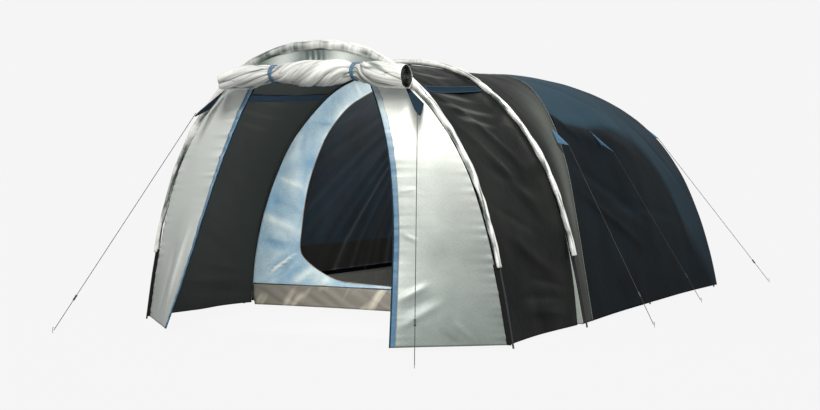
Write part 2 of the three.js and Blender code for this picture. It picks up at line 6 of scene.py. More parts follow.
import bpy
import numpy as np
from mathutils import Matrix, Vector, noise
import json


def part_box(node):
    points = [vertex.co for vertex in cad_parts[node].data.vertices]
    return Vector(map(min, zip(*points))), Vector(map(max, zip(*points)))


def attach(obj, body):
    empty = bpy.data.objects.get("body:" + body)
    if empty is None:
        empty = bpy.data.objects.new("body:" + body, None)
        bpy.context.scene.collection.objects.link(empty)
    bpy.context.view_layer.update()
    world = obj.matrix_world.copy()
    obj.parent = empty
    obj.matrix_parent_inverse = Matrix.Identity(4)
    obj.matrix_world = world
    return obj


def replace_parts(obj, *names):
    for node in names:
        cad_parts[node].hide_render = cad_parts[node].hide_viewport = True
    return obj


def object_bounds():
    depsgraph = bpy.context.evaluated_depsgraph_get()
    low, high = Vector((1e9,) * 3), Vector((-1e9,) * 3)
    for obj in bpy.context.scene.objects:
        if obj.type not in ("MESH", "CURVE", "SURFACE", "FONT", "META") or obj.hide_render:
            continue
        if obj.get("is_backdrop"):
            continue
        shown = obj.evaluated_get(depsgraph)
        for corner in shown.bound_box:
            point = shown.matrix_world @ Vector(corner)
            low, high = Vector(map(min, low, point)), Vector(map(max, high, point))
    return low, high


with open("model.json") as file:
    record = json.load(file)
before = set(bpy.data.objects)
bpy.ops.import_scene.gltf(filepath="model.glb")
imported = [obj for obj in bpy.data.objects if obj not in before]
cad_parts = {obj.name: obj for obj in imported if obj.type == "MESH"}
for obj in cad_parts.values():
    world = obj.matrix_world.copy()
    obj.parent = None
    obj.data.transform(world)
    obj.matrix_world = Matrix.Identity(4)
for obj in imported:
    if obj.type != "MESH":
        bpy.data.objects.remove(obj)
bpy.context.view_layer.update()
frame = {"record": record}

# ---------- the camera ----------
# It stands in front of the tent's right corner at chest height, and looks slightly down through a 55 mm lens.
hoop_low, hoop_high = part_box("front_pole")
front_y = (hoop_low[1] + hoop_high[1]) / 2
camera = bpy.data.objects.new("camera", bpy.data.cameras.new("camera"))
bpy.context.collection.objects.link(camera)
camera.data.lens = 55.33
camera.data.sensor_width = 36
camera.data.clip_end = 200
camera.location = (4.868, front_y - 7.042, 1.154)
camera.rotation_euler = (math.radians(90 - 1.92), 0, math.radians(30.28))
bpy.context.scene.camera = camera


# ---------- guy lines, runners and pegs ----------
# Each guy line is braided polyester cord 4.5 mm thick, tied to a webbing tab and pulled taut to a peg. The
# moulded runner on it takes up the slack, and the peg is a galvanised steel pin driven into the ground.
def colour(hex_value):
    """The linear colour of an sRGB hex value."""
    channels = [int(hex_value[i : i + 2], 16) / 255 for i in (0, 2, 4)]
    return [c / 12.92 if c <= 0.04045 else ((c + 0.055) / 1.055) ** 2.4 for c in channels] + [1.0]


def node(material, kind, inputs=None, **settings):
    """Adds a shader node. inputs maps a socket to its value, or to the output that feeds it."""
    new = material.node_tree.nodes.new(kind)
    for key, value in settings.items():
        setattr(new, key, value)
    for socket, value in (inputs or {}).items():
        if isinstance(value, bpy.types.NodeSocket):
            material.node_tree.links.new(value, new.inputs[socket])
        else:
            new.inputs[socket].default_value = value
    return new


def new_material(name):
    """An empty material, with its output node alone."""
    material = bpy.data.materials.new(name)
    material.use_nodes = True
    material.node_tree.nodes.clear()
    node(material, "ShaderNodeOutputMaterial")
    return material


def finish_material(material, shader):
    """Joins the last shader to the material's output."""
    output = material.node_tree.nodes["Material Output"]
    material.node_tree.links.new(shader.outputs[0], output.inputs["Surface"])
    return material


def braided_cord():
    """Braided polyester: dull, with crossing strands 2 mm long that catch a little light."""
    material = new_material("braided_polyester_cord")
    place = node(material, "ShaderNodeTexCoord").outputs["Object"]
    strands = node(material, "ShaderNodeTexWave", {"Vector": place, "Scale": 1 / 0.002 / 6.28,
                                                   "Distortion": 2.0}, bands_direction="DIAGONAL")
    shade = node(material, "ShaderNodeMix", {"Factor": strands.outputs["Fac"], 6: colour("242423"),
                                             7: colour("3C3C3A")}, data_type="RGBA")
    relief = node(material, "ShaderNodeBump", {"Height": strands.outputs["Fac"], "Strength": 0.5,
                                               "Distance": 0.0004})
    return finish_material(material, node(material, "ShaderNodeBsdfPrincipled", {
        "Base Color": shade.outputs[2], "Normal": relief.outputs[0], "Roughness": 0.8}))


def moulded_nylon():
    """Injection-moulded nylon: near black, matt, with a fine spark-eroded grain of about 0.5 mm."""
    material = new_material("moulded_nylon")
    place = node(material, "ShaderNodeTexCoord").outputs["Object"]
    grain = node(material, "ShaderNodeTexNoise", {"Vector": place, "Scale": 1 / 0.0005, "Detail": 2.0})
    relief = node(material, "ShaderNodeBump", {"Height": grain.outputs["Fac"], "Strength": 0.25,
                                               "Distance": 0.0002})
    return finish_material(material, node(material, "ShaderNodeBsdfPrincipled", {
        "Base Color": colour("2E3032"), "Normal": relief.outputs[0], "Roughness": 0.5, "IOR": 1.53}))


def galvanised_steel():
    """Zinc-plated wire: grey metal with a patchy, slightly uneven shine."""
    material = new_material("galvanised_steel")
    place = node(material, "ShaderNodeTexCoord").outputs["Object"]
    patches = node(material, "ShaderNodeTexNoise", {"Vector": place, "Scale": 1 / 0.006, "Detail": 3.0})
    dulled = node(material, "ShaderNodeMapRange", {"Value": patches.outputs["Fac"], "To Min": 0.3,
                                                   "To Max": 0.55})
    return finish_material(material, node(material, "ShaderNodeBsdfPrincipled", {
        "Base Color": colour("8C9092"), "Metallic": 1.0, "Roughness": dulled.outputs[0]}))


def mesh_piece(name, points, faces, *materials):
    """A smooth-shaded mesh object from points and faces."""
    mesh = bpy.data.meshes.new(name)
    mesh.from_pydata([tuple(map(float, point)) for point in points], [], faces)
    mesh.shade_smooth()
    for material in materials:
        mesh.materials.append(material)
    piece = bpy.data.objects.new(name, mesh)
    bpy.context.collection.objects.link(piece)
    return piece


def swept_tube(name, line, radii, sides, *materials):
    """A closed tube round a line of points, with a radius for each point."""
    line = np.asarray(line, float)
    along = np.gradient(line, axis=0)
    along /= np.linalg.norm(along, axis=1, keepdims=True)
    side = np.cross(along, (0.0, 1.0, 0.02))
    side /= np.linalg.norm(side, axis=1, keepdims=True)
    up = np.cross(side, along)
    turn = np.linspace(0, 2 * math.pi, sides, endpoint=False)
    points = []
    for i, centre in enumerate(line):
        ring = np.outer(np.cos(turn), side[i]) + np.outer(np.sin(turn), up[i])
        points.extend(centre + radii[i] * ring)
    faces = []
    for i in range(len(line) - 1):
        for j in range(sides):
            k = (j + 1) % sides
            faces.append((i * sides + j, i * sides + k, (i + 1) * sides + k, (i + 1) * sides + j))
    faces.append(tuple(reversed(range(sides))))
    faces.append(tuple((len(line) - 1) * sides + j for j in range(sides)))
    return mesh_piece(name, points, faces, *materials)


CORD_DIAMETER = 0.0045
CORD_POINTS = 24
RUNNER_HALF = 0.021
RUNNER_PROFILE = ((-1, 0.0034), (-0.98, 0.0062), (-0.9, 0.0074), (-0.45, 0.0066), (0, 0.0058), (0.45, 0.0066),
                  (0.9, 0.0074), (0.98, 0.0062), (1, 0.0034))
PEG_WIRE = 0.0032
PEG_SHANK = 0.034
PEG_HOOK = 0.0042
cord_braid = braided_cord()
runner_nylon = moulded_nylon()
peg_steel = galvanised_steel()
slides = {joint["child"]: joint for joint in frame["record"]["behaviour"]["joints"]}
for guy in ("front_left", "front_right", "side_left", "side_right", "mid_left", "mid_right", "rear_left",
            "rear_right"):
    low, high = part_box(f"{guy}_line")
    slide = slides[f"{guy}_runner"]
    heart = Vector(slide["pos_m"])
    rise = Vector(slide["axis"]).normalized()
    foot = heart - rise * ((heart.z - low[2] - 0.001) / rise.z)
    tip = heart + rise * ((high[2] - 0.001 - heart.z) / rise.z)

    cord_curve = bpy.data.curves.new(f"{guy}_guy_line", "CURVE")
    cord_curve.dimensions = "3D"
    cord_curve.bevel_depth = CORD_DIAMETER / 2
    cord_curve.bevel_resolution = 4
    cord_curve.use_fill_caps = True
    run = cord_curve.splines.new("POLY")
    run.points.add(CORD_POINTS - 1)
    for i, point in enumerate(run.points):
        point.co = (*tip.lerp(foot, i / (CORD_POINTS - 1)), 1)
    cord = bpy.data.objects.new(cord_curve.name, cord_curve)
    bpy.context.collection.objects.link(cord)
    cord_curve.materials.append(cord_braid)
    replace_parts(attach(cord, "tent"), f"{guy}_line")

    spine = [heart + rise * (RUNNER_HALF * share) for share, radius in RUNNER_PROFILE]
    radii = [radius for share, radius in RUNNER_PROFILE]
    runner = swept_tube(f"{guy}_slider", spine, radii, 20, runner_nylon)
    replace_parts(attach(runner, f"{guy}_runner"), f"{guy}_runner")

    peg_low, peg_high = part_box(f"{guy}_peg")
    stake = Vector(((peg_low[0] + peg_high[0]) / 2, (peg_low[1] + peg_high[1]) / 2, 0))
    outward = Vector((-rise.x, -rise.y, 0)).normalized()
    hook = [stake + Vector((0, 0, z)) for z in np.linspace(0.0, PEG_SHANK, 8)]
    for angle in np.linspace(20, 180, 9):
        bend = math.radians(angle)
        hook.append(stake + Vector((0, 0, PEG_SHANK)) - outward * (PEG_HOOK * (1 - math.cos(bend)))
                    + Vector((0, 0, PEG_HOOK * math.sin(bend))))
    peg = swept_tube(f"{guy}_pin", hook, [PEG_WIRE / 2] * len(hook), 12, peg_steel)
    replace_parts(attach(peg, "tent"), f"{guy}_peg")


# ---------- poles ----------
# Four hoops of glass-fibre rod 12 mm thick, dark and smooth, each made of sections joined by short ferrules.
# They stand on the ground and bend into one arch, which sets the shape of everything that is sewn to them.
def smooth_line(points, steps=40):
    """Close points on a smooth line through the given ones."""
    points = np.asarray(points, float)
    padded = np.vstack([2 * points[0] - points[1], points, 2 * points[-1] - points[-2]])
    line = []
    for i in range(len(points) - 1):
        a, b, c, d = padded[i : i + 4]
        ab, bc, cd = (np.linalg.norm(q - p) ** 0.5 for p, q in ((a, b), (b, c), (c, d)))
        start = ((b - a) / ab - (c - a) / (ab + bc) + (c - b) / bc) * bc
        end = ((c - b) / bc - (d - b) / (bc + cd) + (d - c) / cd) * bc
        s = np.linspace(0, 1, steps, endpoint=False)[:, None]
        line.append((2 * s**3 - 3 * s**2 + 1) * b + (s**3 - 2 * s**2 + s) * start
                    + (3 * s**2 - 2 * s**3) * c + (s**3 - s**2) * end)
    return np.vstack([*line, points[-1:]])


def evenly(line, count):
    """The given number of points on a line, at equal distances."""
    gone = np.concatenate([[0], np.cumsum(np.linalg.norm(np.diff(line, axis=0), axis=1))])
    places = np.linspace(0, gone[-1], count)
    return np.stack([np.interp(places, gone, line[:, k]) for k in range(line.shape[1])], axis=1)


ARCH_HALF = [(1.5, 0), (1.428, 0.382), (1.331, 0.769), (1.173, 1.173), (0.899, 1.556), (0.497, 1.856),
             (0, 1.952)]
arch = evenly(smooth_line(ARCH_HALF + [(-x, z) for x, z in ARCH_HALF[-2::-1]], 120), 2401)
arch_share = np.linspace(0, 1, len(arch))
arch_slope = np.gradient(arch, axis=0)
ARCH_LENGTH = float(np.linalg.norm(np.diff(arch, axis=0), axis=1).sum())

HOOP_Y = {"front": 0.0, "middle": 1.175, "bedroom": 2.8, "rear": 4.5}
HOOP_WIDTH = (1.5, 1.507, 1.445, 1.469)
HOOP_HEIGHT = (1.952, 1.915, 1.945, 1.945)
REAR_DROP = 0.161
REAR_SHOULDER = 0.045


def on_arch(share, y, inset):
    """Points of the arch at shares from the right foot to the left one, at y, moved in by inset."""
    share, y, inset = np.broadcast_arrays(*(np.asarray(v, float) for v in (share, y, inset)))
    stations = list(HOOP_Y.values())
    back = np.clip((y - stations[2]) / (stations[3] - stations[2]), 0, 1.1)
    wide = np.interp(y, stations, HOOP_WIDTH) / 1.5
    tall = (np.interp(y, stations, HOOP_HEIGHT) - REAR_DROP * back**2) / 1.952
    x, z = (np.interp(share, arch_share, arch[:, k]) for k in (0, 1))
    run_x, run_z = (np.interp(share, arch_share, arch_slope[:, k]) for k in (0, 1))
    slimmer = REAR_SHOULDER * back * np.sin(2 * math.pi * np.minimum(share, 1 - share)) ** 2
    in_x, in_z = -run_z * tall, run_x * wide
    size = np.hypot(in_x, in_z)
    return np.stack([x * wide - np.sign(x) * slimmer + in_x / size * inset, y,
                     z * tall + in_z / size * inset], axis=-1)


def share_at(z, y, inset):
    """The share of the arch, on the right side, where it reaches a height."""
    shares = np.linspace(0, 0.5, 500)
    return float(np.interp(z, on_arch(shares, y, inset)[:, 2], shares))


def row_frame(points):
    """Moves points from the front hoop's plane into the part's own frame."""
    return np.asarray(points, float) + (0, front_y, 0)


def glass_fibre():
    """Pultruded glass-fibre rod: near black and glossy, with faint lengthwise streaks 1 mm apart."""
    material = new_material("glass_fibre_rod")
    place = node(material, "ShaderNodeTexCoord").outputs["Object"]
    streaks = node(material, "ShaderNodeTexNoise", {"Vector": place, "Scale": 1 / 0.001, "Detail": 1.0})
    shade = node(material, "ShaderNodeMix", {"Factor": streaks.outputs["Fac"], 6: colour("1D1D1C"),
                                             7: colour("3A3A38")}, data_type="RGBA")
    return finish_material(material, node(material, "ShaderNodeBsdfPrincipled", {
        "Base Color": shade.outputs[2], "Roughness": 0.3, "IOR": 1.55}))


POLE_RADIUS = 0.006
FERRULE_SHARES = (0.12, 0.25, 0.38, 0.5, 0.62, 0.75, 0.88)
INSIDE_INSET = 0.053
rod = glass_fibre()
for hoop, y in HOOP_Y.items():
    inset = 0 if hoop in ("front", "middle") else INSIDE_INSET
    y = y - 0.02 if hoop == "rear" else y
    line = on_arch(np.linspace(0, 1, 361), y, inset)
    line[:, 2] = np.maximum(line[:, 2], 0.0015)
    radii = np.full(len(line), POLE_RADIUS)
    for joint_share in FERRULE_SHARES:
        radii[np.abs(np.linspace(0, 1, len(line)) - joint_share) < 0.006] = POLE_RADIUS + 0.0012
    pole = swept_tube(f"{hoop}_rod", row_frame(line), radii, 16, rod)
    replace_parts(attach(pole, "tent"), f"{hoop}_pole")


# ---------- cloth, and how it is made ----------
# Every panel is coated polyester or nylon under 1 mm thick, sewn between two hoops. A panel is laid out as a
# grid of points, its folds are pressed into the grid along the cloth's own face, and it gets a thickness.
def fold(across, along, start, end, width, depth):
    """A soft fold from one place of the cloth to another: how far each point moves out."""
    start, end = np.asarray(start, float), np.asarray(end, float)
    run = end - start
    length = math.hypot(*run)
    share = ((across - start[0]) * run[0] + (along - start[1]) * run[1]) / length**2
    aside = ((across - start[0]) * run[1] - (along - start[1]) * run[0]) / length
    fade = np.clip(1.15 - np.abs(2 * share - 1), 0, 1)
    return depth * np.exp(-((aside / width) ** 2)) * np.sin(fade * math.pi / 2) ** 2


def ripple(across, along, size, depth, seed):
    """Uneven softness of hanging cloth: random hollows of about the given size, or sizes each way."""
    size = size if isinstance(size, tuple) else (size, size)
    flat = zip(np.ravel(across / size[0]), np.ravel(along / size[1]))
    heights = [noise.noise(Vector((a, b, seed * 7.3))) for a, b in flat]
    return depth * np.reshape(heights, np.shape(across))


def press(grid, out):
    """Moves each point of a grid by out, square to the cloth, towards the side of its first material."""
    faced = np.cross(np.gradient(grid, axis=1), np.gradient(grid, axis=0))
    length = np.linalg.norm(faced, axis=2, keepdims=True)
    return grid + faced / np.maximum(length, 1e-12) * out[..., None]


def cloth_piece(name, grid, thickness, materials, wraps=False, painted_light_and_tone=0.0):
    """A sheet of cloth on a grid of points, with its weave laid out in metres. The first material is on the
    side that press moves towards. The last argument is painted light and shade, with some random tone, at
    each point, from 0 for the shaded colour to 1 for the lit one."""
    grid = row_frame(grid)
    rows, columns = grid.shape[:2]
    across = np.concatenate([[0], np.cumsum(np.linalg.norm(np.diff(grid[rows // 2], axis=0), axis=1))])
    along = np.concatenate([[0], np.cumsum(np.linalg.norm(np.diff(grid[:, columns // 2], axis=0), axis=1))])
    faces = []
    for i in range(rows - 1):
        for j in range(columns if wraps else columns - 1):
            k = (j + 1) % columns
            faces.append((i * columns + j, i * columns + k, (i + 1) * columns + k, (i + 1) * columns + j))
    piece = mesh_piece(name, grid.reshape(-1, 3), faces, *materials)
    layer = piece.data.uv_layers.new(name="cloth")
    corners = np.array([loop.vertex_index for loop in piece.data.loops])
    places = np.stack([across[corners % columns], along[corners // columns]], axis=1)
    layer.data.foreach_set("uv", places.ravel())
    # Painted light and shade, stored on each point for the material to read.
    painted_light_layer = piece.data.attributes.new("painted_light_and_tone", "FLOAT", "POINT")
    painted_light_layer.data.foreach_set("value", np.clip(np.broadcast_to(painted_light_and_tone, (rows, columns)), 0, 1).ravel())
    body = piece.modifiers.new("thickness", "SOLIDIFY")
    body.thickness = thickness
    body.offset = 0
    body.material_offset = len(materials) - 1
    body.material_offset_rim = 0
    return piece


def coated_polyester(name, shade, lit, rough, gloss, crumple, weave=0.5, metallic=0.0, uneven=0.05):
    """Woven polyester with a smooth coating. Threads are drawn 3 mm apart, coarser than real ones, so that
    they show; crumples 8 cm across catch the light, the cloth is faded unevenly in random patches, and light
    and shade are painted in by mixing a shaded and a lit colour."""
    material = new_material(name)
    cloth = node(material, "ShaderNodeUVMap", uv_map="cloth").outputs[0]
    place = node(material, "ShaderNodeTexCoord").outputs["Object"]
    # The cloth's attribute carries painted light and shade, which moves the colour from the shaded one
    # towards the lit one.
    painted_light_and_tone = node(material, "ShaderNodeAttribute", attribute_name="painted_light_and_tone").outputs["Fac"]
    patches = node(material, "ShaderNodeTexNoise", {"Vector": place, "Scale": 1 / 0.35, "Detail": 4.0})
    upright = node(material, "ShaderNodeMapping", {"Vector": cloth, "Scale": (1 / 0.003, 1 / 0.015, 1)})
    warp = node(material, "ShaderNodeTexNoise", {"Vector": upright.outputs[0], "Scale": 1.0, "Detail": 1.0})
    level = node(material, "ShaderNodeMapping", {"Vector": cloth, "Scale": (1 / 0.015, 1 / 0.003, 1)})
    weft = node(material, "ShaderNodeTexNoise", {"Vector": level.outputs[0], "Scale": 1.0, "Detail": 1.0})
    threads = node(material, "ShaderNodeMath", {0: warp.outputs["Fac"], 1: weft.outputs["Fac"]},
                   operation="ADD")
    crumples = node(material, "ShaderNodeTexNoise", {"Vector": cloth, "Scale": 1 / 0.08, "Detail": 3.0,
                                                     "Distortion": 0.8})
    fade_and_highlight = node(material, "ShaderNodeMapRange", {"Value": patches.outputs["Fac"], "From Min": 0.3,
                                                  "From Max": 0.7, "To Min": -uneven, "To Max": uneven})
    painted_light_and_fading = node(material, "ShaderNodeMath", {0: painted_light_and_tone, 1: fade_and_highlight.outputs[0]}, operation="ADD", use_clamp=True)
    mixed = node(material, "ShaderNodeMix", {"Factor": painted_light_and_fading.outputs[0], 6: colour(shade), 7: colour(lit)},
                 data_type="RGBA")
    flecks = node(material, "ShaderNodeMapRange", {"Value": threads.outputs[0], "From Min": 0.7,
                                                   "From Max": 1.3, "To Min": 1 - 0.16 * weave,
                                                   "To Max": 1 + 0.16 * weave})
    flecked = node(material, "ShaderNodeVectorMath", {0: mixed.outputs[2], "Scale": flecks.outputs[0]},
                   operation="SCALE")
    small = node(material, "ShaderNodeBump", {"Height": threads.outputs[0], "Strength": 0.4 * weave,
                                              "Distance": 0.0006})
    relief = node(material, "ShaderNodeBump", {"Height": crumples.outputs["Fac"], "Strength": crumple,
                                               "Distance": 0.01, "Normal": small.outputs[0]})
    worn = node(material, "ShaderNodeMapRange", {"Value": patches.outputs["Fac"], "To Min": rough - 0.06,
                                                 "To Max": rough + 0.1})
    return finish_material(material, node(material, "ShaderNodeBsdfPrincipled", {
        "Base Color": flecked.outputs[0], "Roughness": worn.outputs[0], "Normal": relief.outputs[0],
        "Specular IOR Level": gloss, "Metallic": metallic}))


# ---------- flysheet of the porch ----------
# One charcoal panel from ground to ground between the front and the middle hoop. It is pulled tight over
# the crown, sinks in between the hoops at the sides, and is drawn in at the back of its hem. Pale streaks
# high on each side are painted highlights.
SKIN_INSET = 0.028
HEM_HEIGHT = 0.022
CLOTH = 0.0008
DRAWN_IN, DRAWN_UP_TO = 0.045, 0.7
# Folds are given as start, end, width and depth, over the depth of the tent and the way up the cloth.
PORCH_CREASES = (
    ((0.12, 1.95), (0.95, 1.15), 0.05, -0.014), ((0.10, 1.60), (1.05, 0.70), 0.06, -0.016),
    ((0.15, 1.25), (1.10, 0.95), 0.045, 0.012), ((0.20, 0.75), (1.05, 0.35), 0.05, -0.014),
    ((0.10, 0.95), (0.80, 0.70), 0.03, 0.010), ((0.25, 0.30), (1.10, 0.22), 0.030, 0.010),
    ((0.35, 0.20), (1.12, 0.12), 0.028, -0.010), ((0.45, 0.42), (1.10, 0.30), 0.022, 0.009),
    ((0.10, 2.10), (0.60, 2.02), 0.022, 0.0030), ((0.10, 1.98), (0.50, 1.90), 0.022, 0.007))
# Painted highlights, as start and end over the depth of the tent and the way up the cloth.
PORCH_PAINTED_HIGHLIGHTS = (((0.22, 1.84), (0.86, 1.81)), ((0.20, 1.72), (0.95, 1.66)), ((0.30, 1.60), (0.80, 1.55)),
                 ((0.25, 2.10), (0.95, 2.12)), ((0.30, 2.30), (1.00, 2.34)))
HIGHLIGHT_WIDTH, HIGHLIGHT_STRENGTH = 0.018, 0.62
SPANS = ((0.0, 1.175, 0.034, 0.012), (1.175, 2.8, 0.012, 0.016), (2.8, 4.5, 0.018, -0.012))


def on_skin(share, y, out=0.0):
    """Points of the flysheet, which sinks in between the hoops, moved outwards by out."""
    share, y = np.broadcast_arrays(np.asarray(share, float), np.asarray(y, float))
    inset = np.full(share.shape, SKIN_INSET)
    for start, end, at_hem, at_crown in SPANS:
        inside = (y >= start) & (y <= end)
        sag = at_hem + (at_crown - at_hem) * np.sin(math.pi * share)
        slack = np.sin(math.pi * np.clip((y - start) / (end - start), 0, 1))
        inset = inset + np.where(inside, sag * slack, 0)
    points = on_arch(share, y, inset - out)
    points[..., 2] = np.maximum(points[..., 2], HEM_HEIGHT)
    return points


def panel(line_from, line_to, columns, rows):
    """Shares, depths and points of a panel between two lines across the tent, given as y over shares."""
    hem = share_at(HEM_HEIGHT, line_from(0), SKIN_INSET)
    share = np.linspace(hem, 1 - hem, columns)[None, :]
    v = np.linspace(0, 1, rows)[:, None]
    y = line_from(share) + (line_to(share) - line_from(share)) * v
    share = np.broadcast_to(share, y.shape)
    return share, y, on_skin(share, y)


def girth(share):
    """The distance up the cloth from the nearer hem, in metres, for folds that both sides have."""
    return np.minimum(share, 1 - share) * ARCH_LENGTH


charcoal = coated_polyester("charcoal_polyester", "141616", "6E726D", 0.36, 0.04, 0.3, uneven=0.03)
charcoal_inside = coated_polyester("uncoated_charcoal", "2D302E", "383B38", 0.7, 0.06, 0.2)
share, y, grid = panel(lambda s: 0.001 + 0 * s, lambda s: 1.174 + 0 * s, 281, 64)
up = girth(share)
out = ripple(y, up, (0.5, 0.9), 0.012, 1) + ripple(y, up, (0.16, 0.4), 0.004, 2)
for start, end, width, depth in PORCH_CREASES:
    out += fold(y, up, start, end, width, depth)
out *= np.sin(math.pi * np.clip(y / 1.175, 0, 1)) ** 0.6
drawn_in = DRAWN_IN * np.clip((y - 0.7) / 0.475, 0, 1) ** 2 * np.clip(1 - up / DRAWN_UP_TO, 0, 1) ** 1.5
# Painted light: raised folds are painted lighter and the crown darker, and the streaks are painted
# highlights; the ripple is random tone.
painted_light_and_tone = 0.04 + ripple(y, up, (0.5, 0.5), 0.05, 9) + np.clip(6.0 * out, 0, 0.12)
painted_light_and_tone *= np.interp(up, [1.4, 2.0], [1.0, 0.3])
for start, end in PORCH_PAINTED_HIGHLIGHTS:
    painted_light_and_tone += fold(y, up, start, end, HIGHLIGHT_WIDTH, HIGHLIGHT_STRENGTH)
faces = [charcoal_inside, charcoal]
porch = cloth_piece("porch_flysheet", press(grid, out + drawn_in), CLOTH, faces, painted_light_and_tone=painted_light_and_tone)
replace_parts(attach(porch, "tent"), "porch_canopy")


# ---------- flysheet behind the middle hoop ----------
# A charcoal strip between the middle hoop and a seam that leans back to the crown. It sinks in just behind
# the hoop, where it is painted dark, is painted lighter along a ridge towards the seam, and is 22 cm wide at
# the ground.
SEAM_FOOT, SEAM_CROWN, SEAM_POWER = 1.395, 2.49, 2.6


def seam_y(share):
    """Where the charcoal flysheet meets the navy one, for shares of the arch."""
    height = np.interp(share, arch_share, arch[:, 1]) / 1.952
    return SEAM_FOOT + (SEAM_CROWN - SEAM_FOOT) * height**SEAM_POWER


share, y, grid = panel(lambda s: 1.176 + 0 * s, lambda s: seam_y(s) - 0.001, 281, 40)
up = girth(share)
v = (y - 1.176) / (seam_y(share) - 1.176)
out = (ripple(y, up, (0.4, 0.8), 0.008, 3) + ripple(y, up, (0.12, 0.5), 0.003, 4)) * np.sin(math.pi * v)
hollow = np.exp(-(((v - 0.22) / 0.16) ** 2))
out -= 0.012 * hollow * np.clip((up - 0.4) / 0.5, 0, 1) * np.clip((2.3 - up), 0, 1)
# Painted light: a lit band near the seam, and the lower cloth painted lighter; the ripple is random tone.
painted_ridge_light = np.exp(-(((v - 0.78) / 0.24) ** 2))
painted_ridge_light = painted_ridge_light * np.clip((up - 0.25) / 0.7, 0, 1) * np.clip((2.25 - up) / 0.5, 0, 1)
painted_light_and_tone = 0.02 + 0.55 * painted_ridge_light + 0.10 * np.clip((v - 0.7) / 0.3, 0, 1)
painted_light_and_tone += 0.26 * np.clip(1.2 - up, 0, 1) * np.clip(v / 0.4, 0, 1)
painted_light_and_tone += ripple(y, up, (0.10, 0.5), 0.10, 10)
grey_fly = cloth_piece("charcoal_flysheet", press(grid, out), CLOTH, faces, painted_light_and_tone=painted_light_and_tone)
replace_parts(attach(grey_fly, "tent"), "grey_canopy")


def stitched_tape(name, shade, thread):
    """Flat-felled cloth with a row of lockstitches. They are drawn 9 mm long, three times the real length, so
    that they show."""
    material = new_material(name)
    cloth = node(material, "ShaderNodeUVMap", uv_map="cloth").outputs[0]
    pitch = node(material, "ShaderNodeMapping", {"Vector": cloth, "Scale": (1 / 0.006, 1 / 0.009, 1)})
    checks = node(material, "ShaderNodeTexChecker", {"Vector": pitch.outputs[0], "Color1": colour(shade),
                                                     "Color2": colour(thread), "Scale": 1.0})
    relief = node(material, "ShaderNodeBump", {"Height": checks.outputs["Fac"], "Strength": 0.5,
                                               "Distance": 0.001})
    return finish_material(material, node(material, "ShaderNodeBsdfPrincipled", {
        "Base Color": checks.outputs["Color"], "Normal": relief.outputs[0], "Roughness": 0.8,
        "Specular IOR Level": 0.1}))


seam_stitching = stitched_tape("felled_seam", "2A2C2A", "8E928E")
hem = share_at(HEM_HEIGHT, 1.4, SKIN_INSET)
seam_shares = np.linspace(hem, 1 - hem, 281)[:, None]
grid = on_skin(seam_shares, seam_y(seam_shares) + np.linspace(-0.016, -0.002, 5)[None, :], 0.0035)
felled = cloth_piece("canopy_seam", grid, 0.0012, [seam_stitching])
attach(felled, "tent")

# The gap between the porch and this strip, where the porch is drawn in at the ground, is closed on each side
# by a narrow silver gusset behind the middle pole.
gusset_cloth = coated_polyester("silver_gusset_polyester", "7E8683", "B4BBB6", 0.4, 0.3, 0.3)
low_shares = np.linspace(hem, share_at(0.80, 1.176, SKIN_INSET), 60)
for name, side in (("left", -1), ("right", 1)):
    depth = 0.046 * np.clip(1 - girth(low_shares) / 0.7, 0, 1) ** 1.5
    rows = [on_skin(low_shares, 1.1755, -depth * s - 0.001) for s in np.linspace(1, -0.12, 8)]
    grid = np.stack(rows, axis=1) + np.array([0, 0.001, 0]) * np.linspace(-1, 1, 8)[None, :, None]
    faces = [gusset_cloth, charcoal_inside] if side > 0 else [charcoal_inside, gusset_cloth]
    gusset = cloth_piece(f"{name}_gusset", grid * (side, 1, 1), 0.0012, faces, painted_light_and_tone=0.4)
    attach(gusset, "tent")


# ---------- flysheet over the bedroom ----------
# One navy panel from the seam to the rear hoop. The roof is slack and is painted lighter, as lit from
# above. The wall below it is painted dark, and the line where it turns runs from the seam down to the foot of
# the rear hoop.
TURN_LINE = ((1.9, 1.75), (2.06, 1.76), (2.21, 1.61), (2.58, 1.55), (2.92, 1.54), (3.16, 1.46), (3.53, 1.35),
             (3.74, 1.10), (3.89, 0.84), (4.0, 0.45), (4.17, 0.28), (4.5, -0.2))
NAVY_FOLDS = (((2.45, 2.30), (3.3, 1.75), 0.05, 0.009), ((2.9, 2.40), (4.2, 1.95), 0.06, -0.008),
              ((1.6, 1.30), (3.2, 0.60), 0.05, 0.009), ((1.6, 1.05), (2.9, 0.45), 0.04, -0.009),
              ((2.0, 0.90), (4.0, 0.70), 0.05, 0.008), ((3.6, 1.9), (4.4, 0.9), 0.05, 0.008))
navy = coated_polyester("navy_polyester", "080E13", "3B5767", 0.42, 0.03, 0.22, uneven=0.03)
navy_inside = coated_polyester("uncoated_navy", "14212A", "263B49", 0.75, 0.1, 0.15)
share, y, grid = panel(lambda s: seam_y(s) + 0.001, lambda s: 4.5 + 0 * s, 301, 150)
up = girth(share)
v = (y - seam_y(share)) / (4.5 - seam_y(share))
out = ripple(y, up, (0.7, 0.7), 0.012, 5) + ripple(y, up, (0.25, 0.4), 0.005, 6)
out = out * np.sin(math.pi * v) ** 0.5
crease = np.interp(y, *zip(*TURN_LINE))
sharp = np.interp(y, [2.0, 2.9, 3.6, 4.5], [0.05, 0.08, 0.26, 0.30])
out += 0.012 * np.exp(-(((up - crease - 0.03) / 0.05) ** 2)) * np.clip((3.5 - y) / 0.6, 0, 1)
out -= 0.010 * np.exp(-(((up - crease + 0.10) / 0.08) ** 2)) * np.clip((3.5 - y) / 0.6, 0, 1)
for start, end, width, depth in NAVY_FOLDS:
    out += fold(y, up, start, end, width, depth)
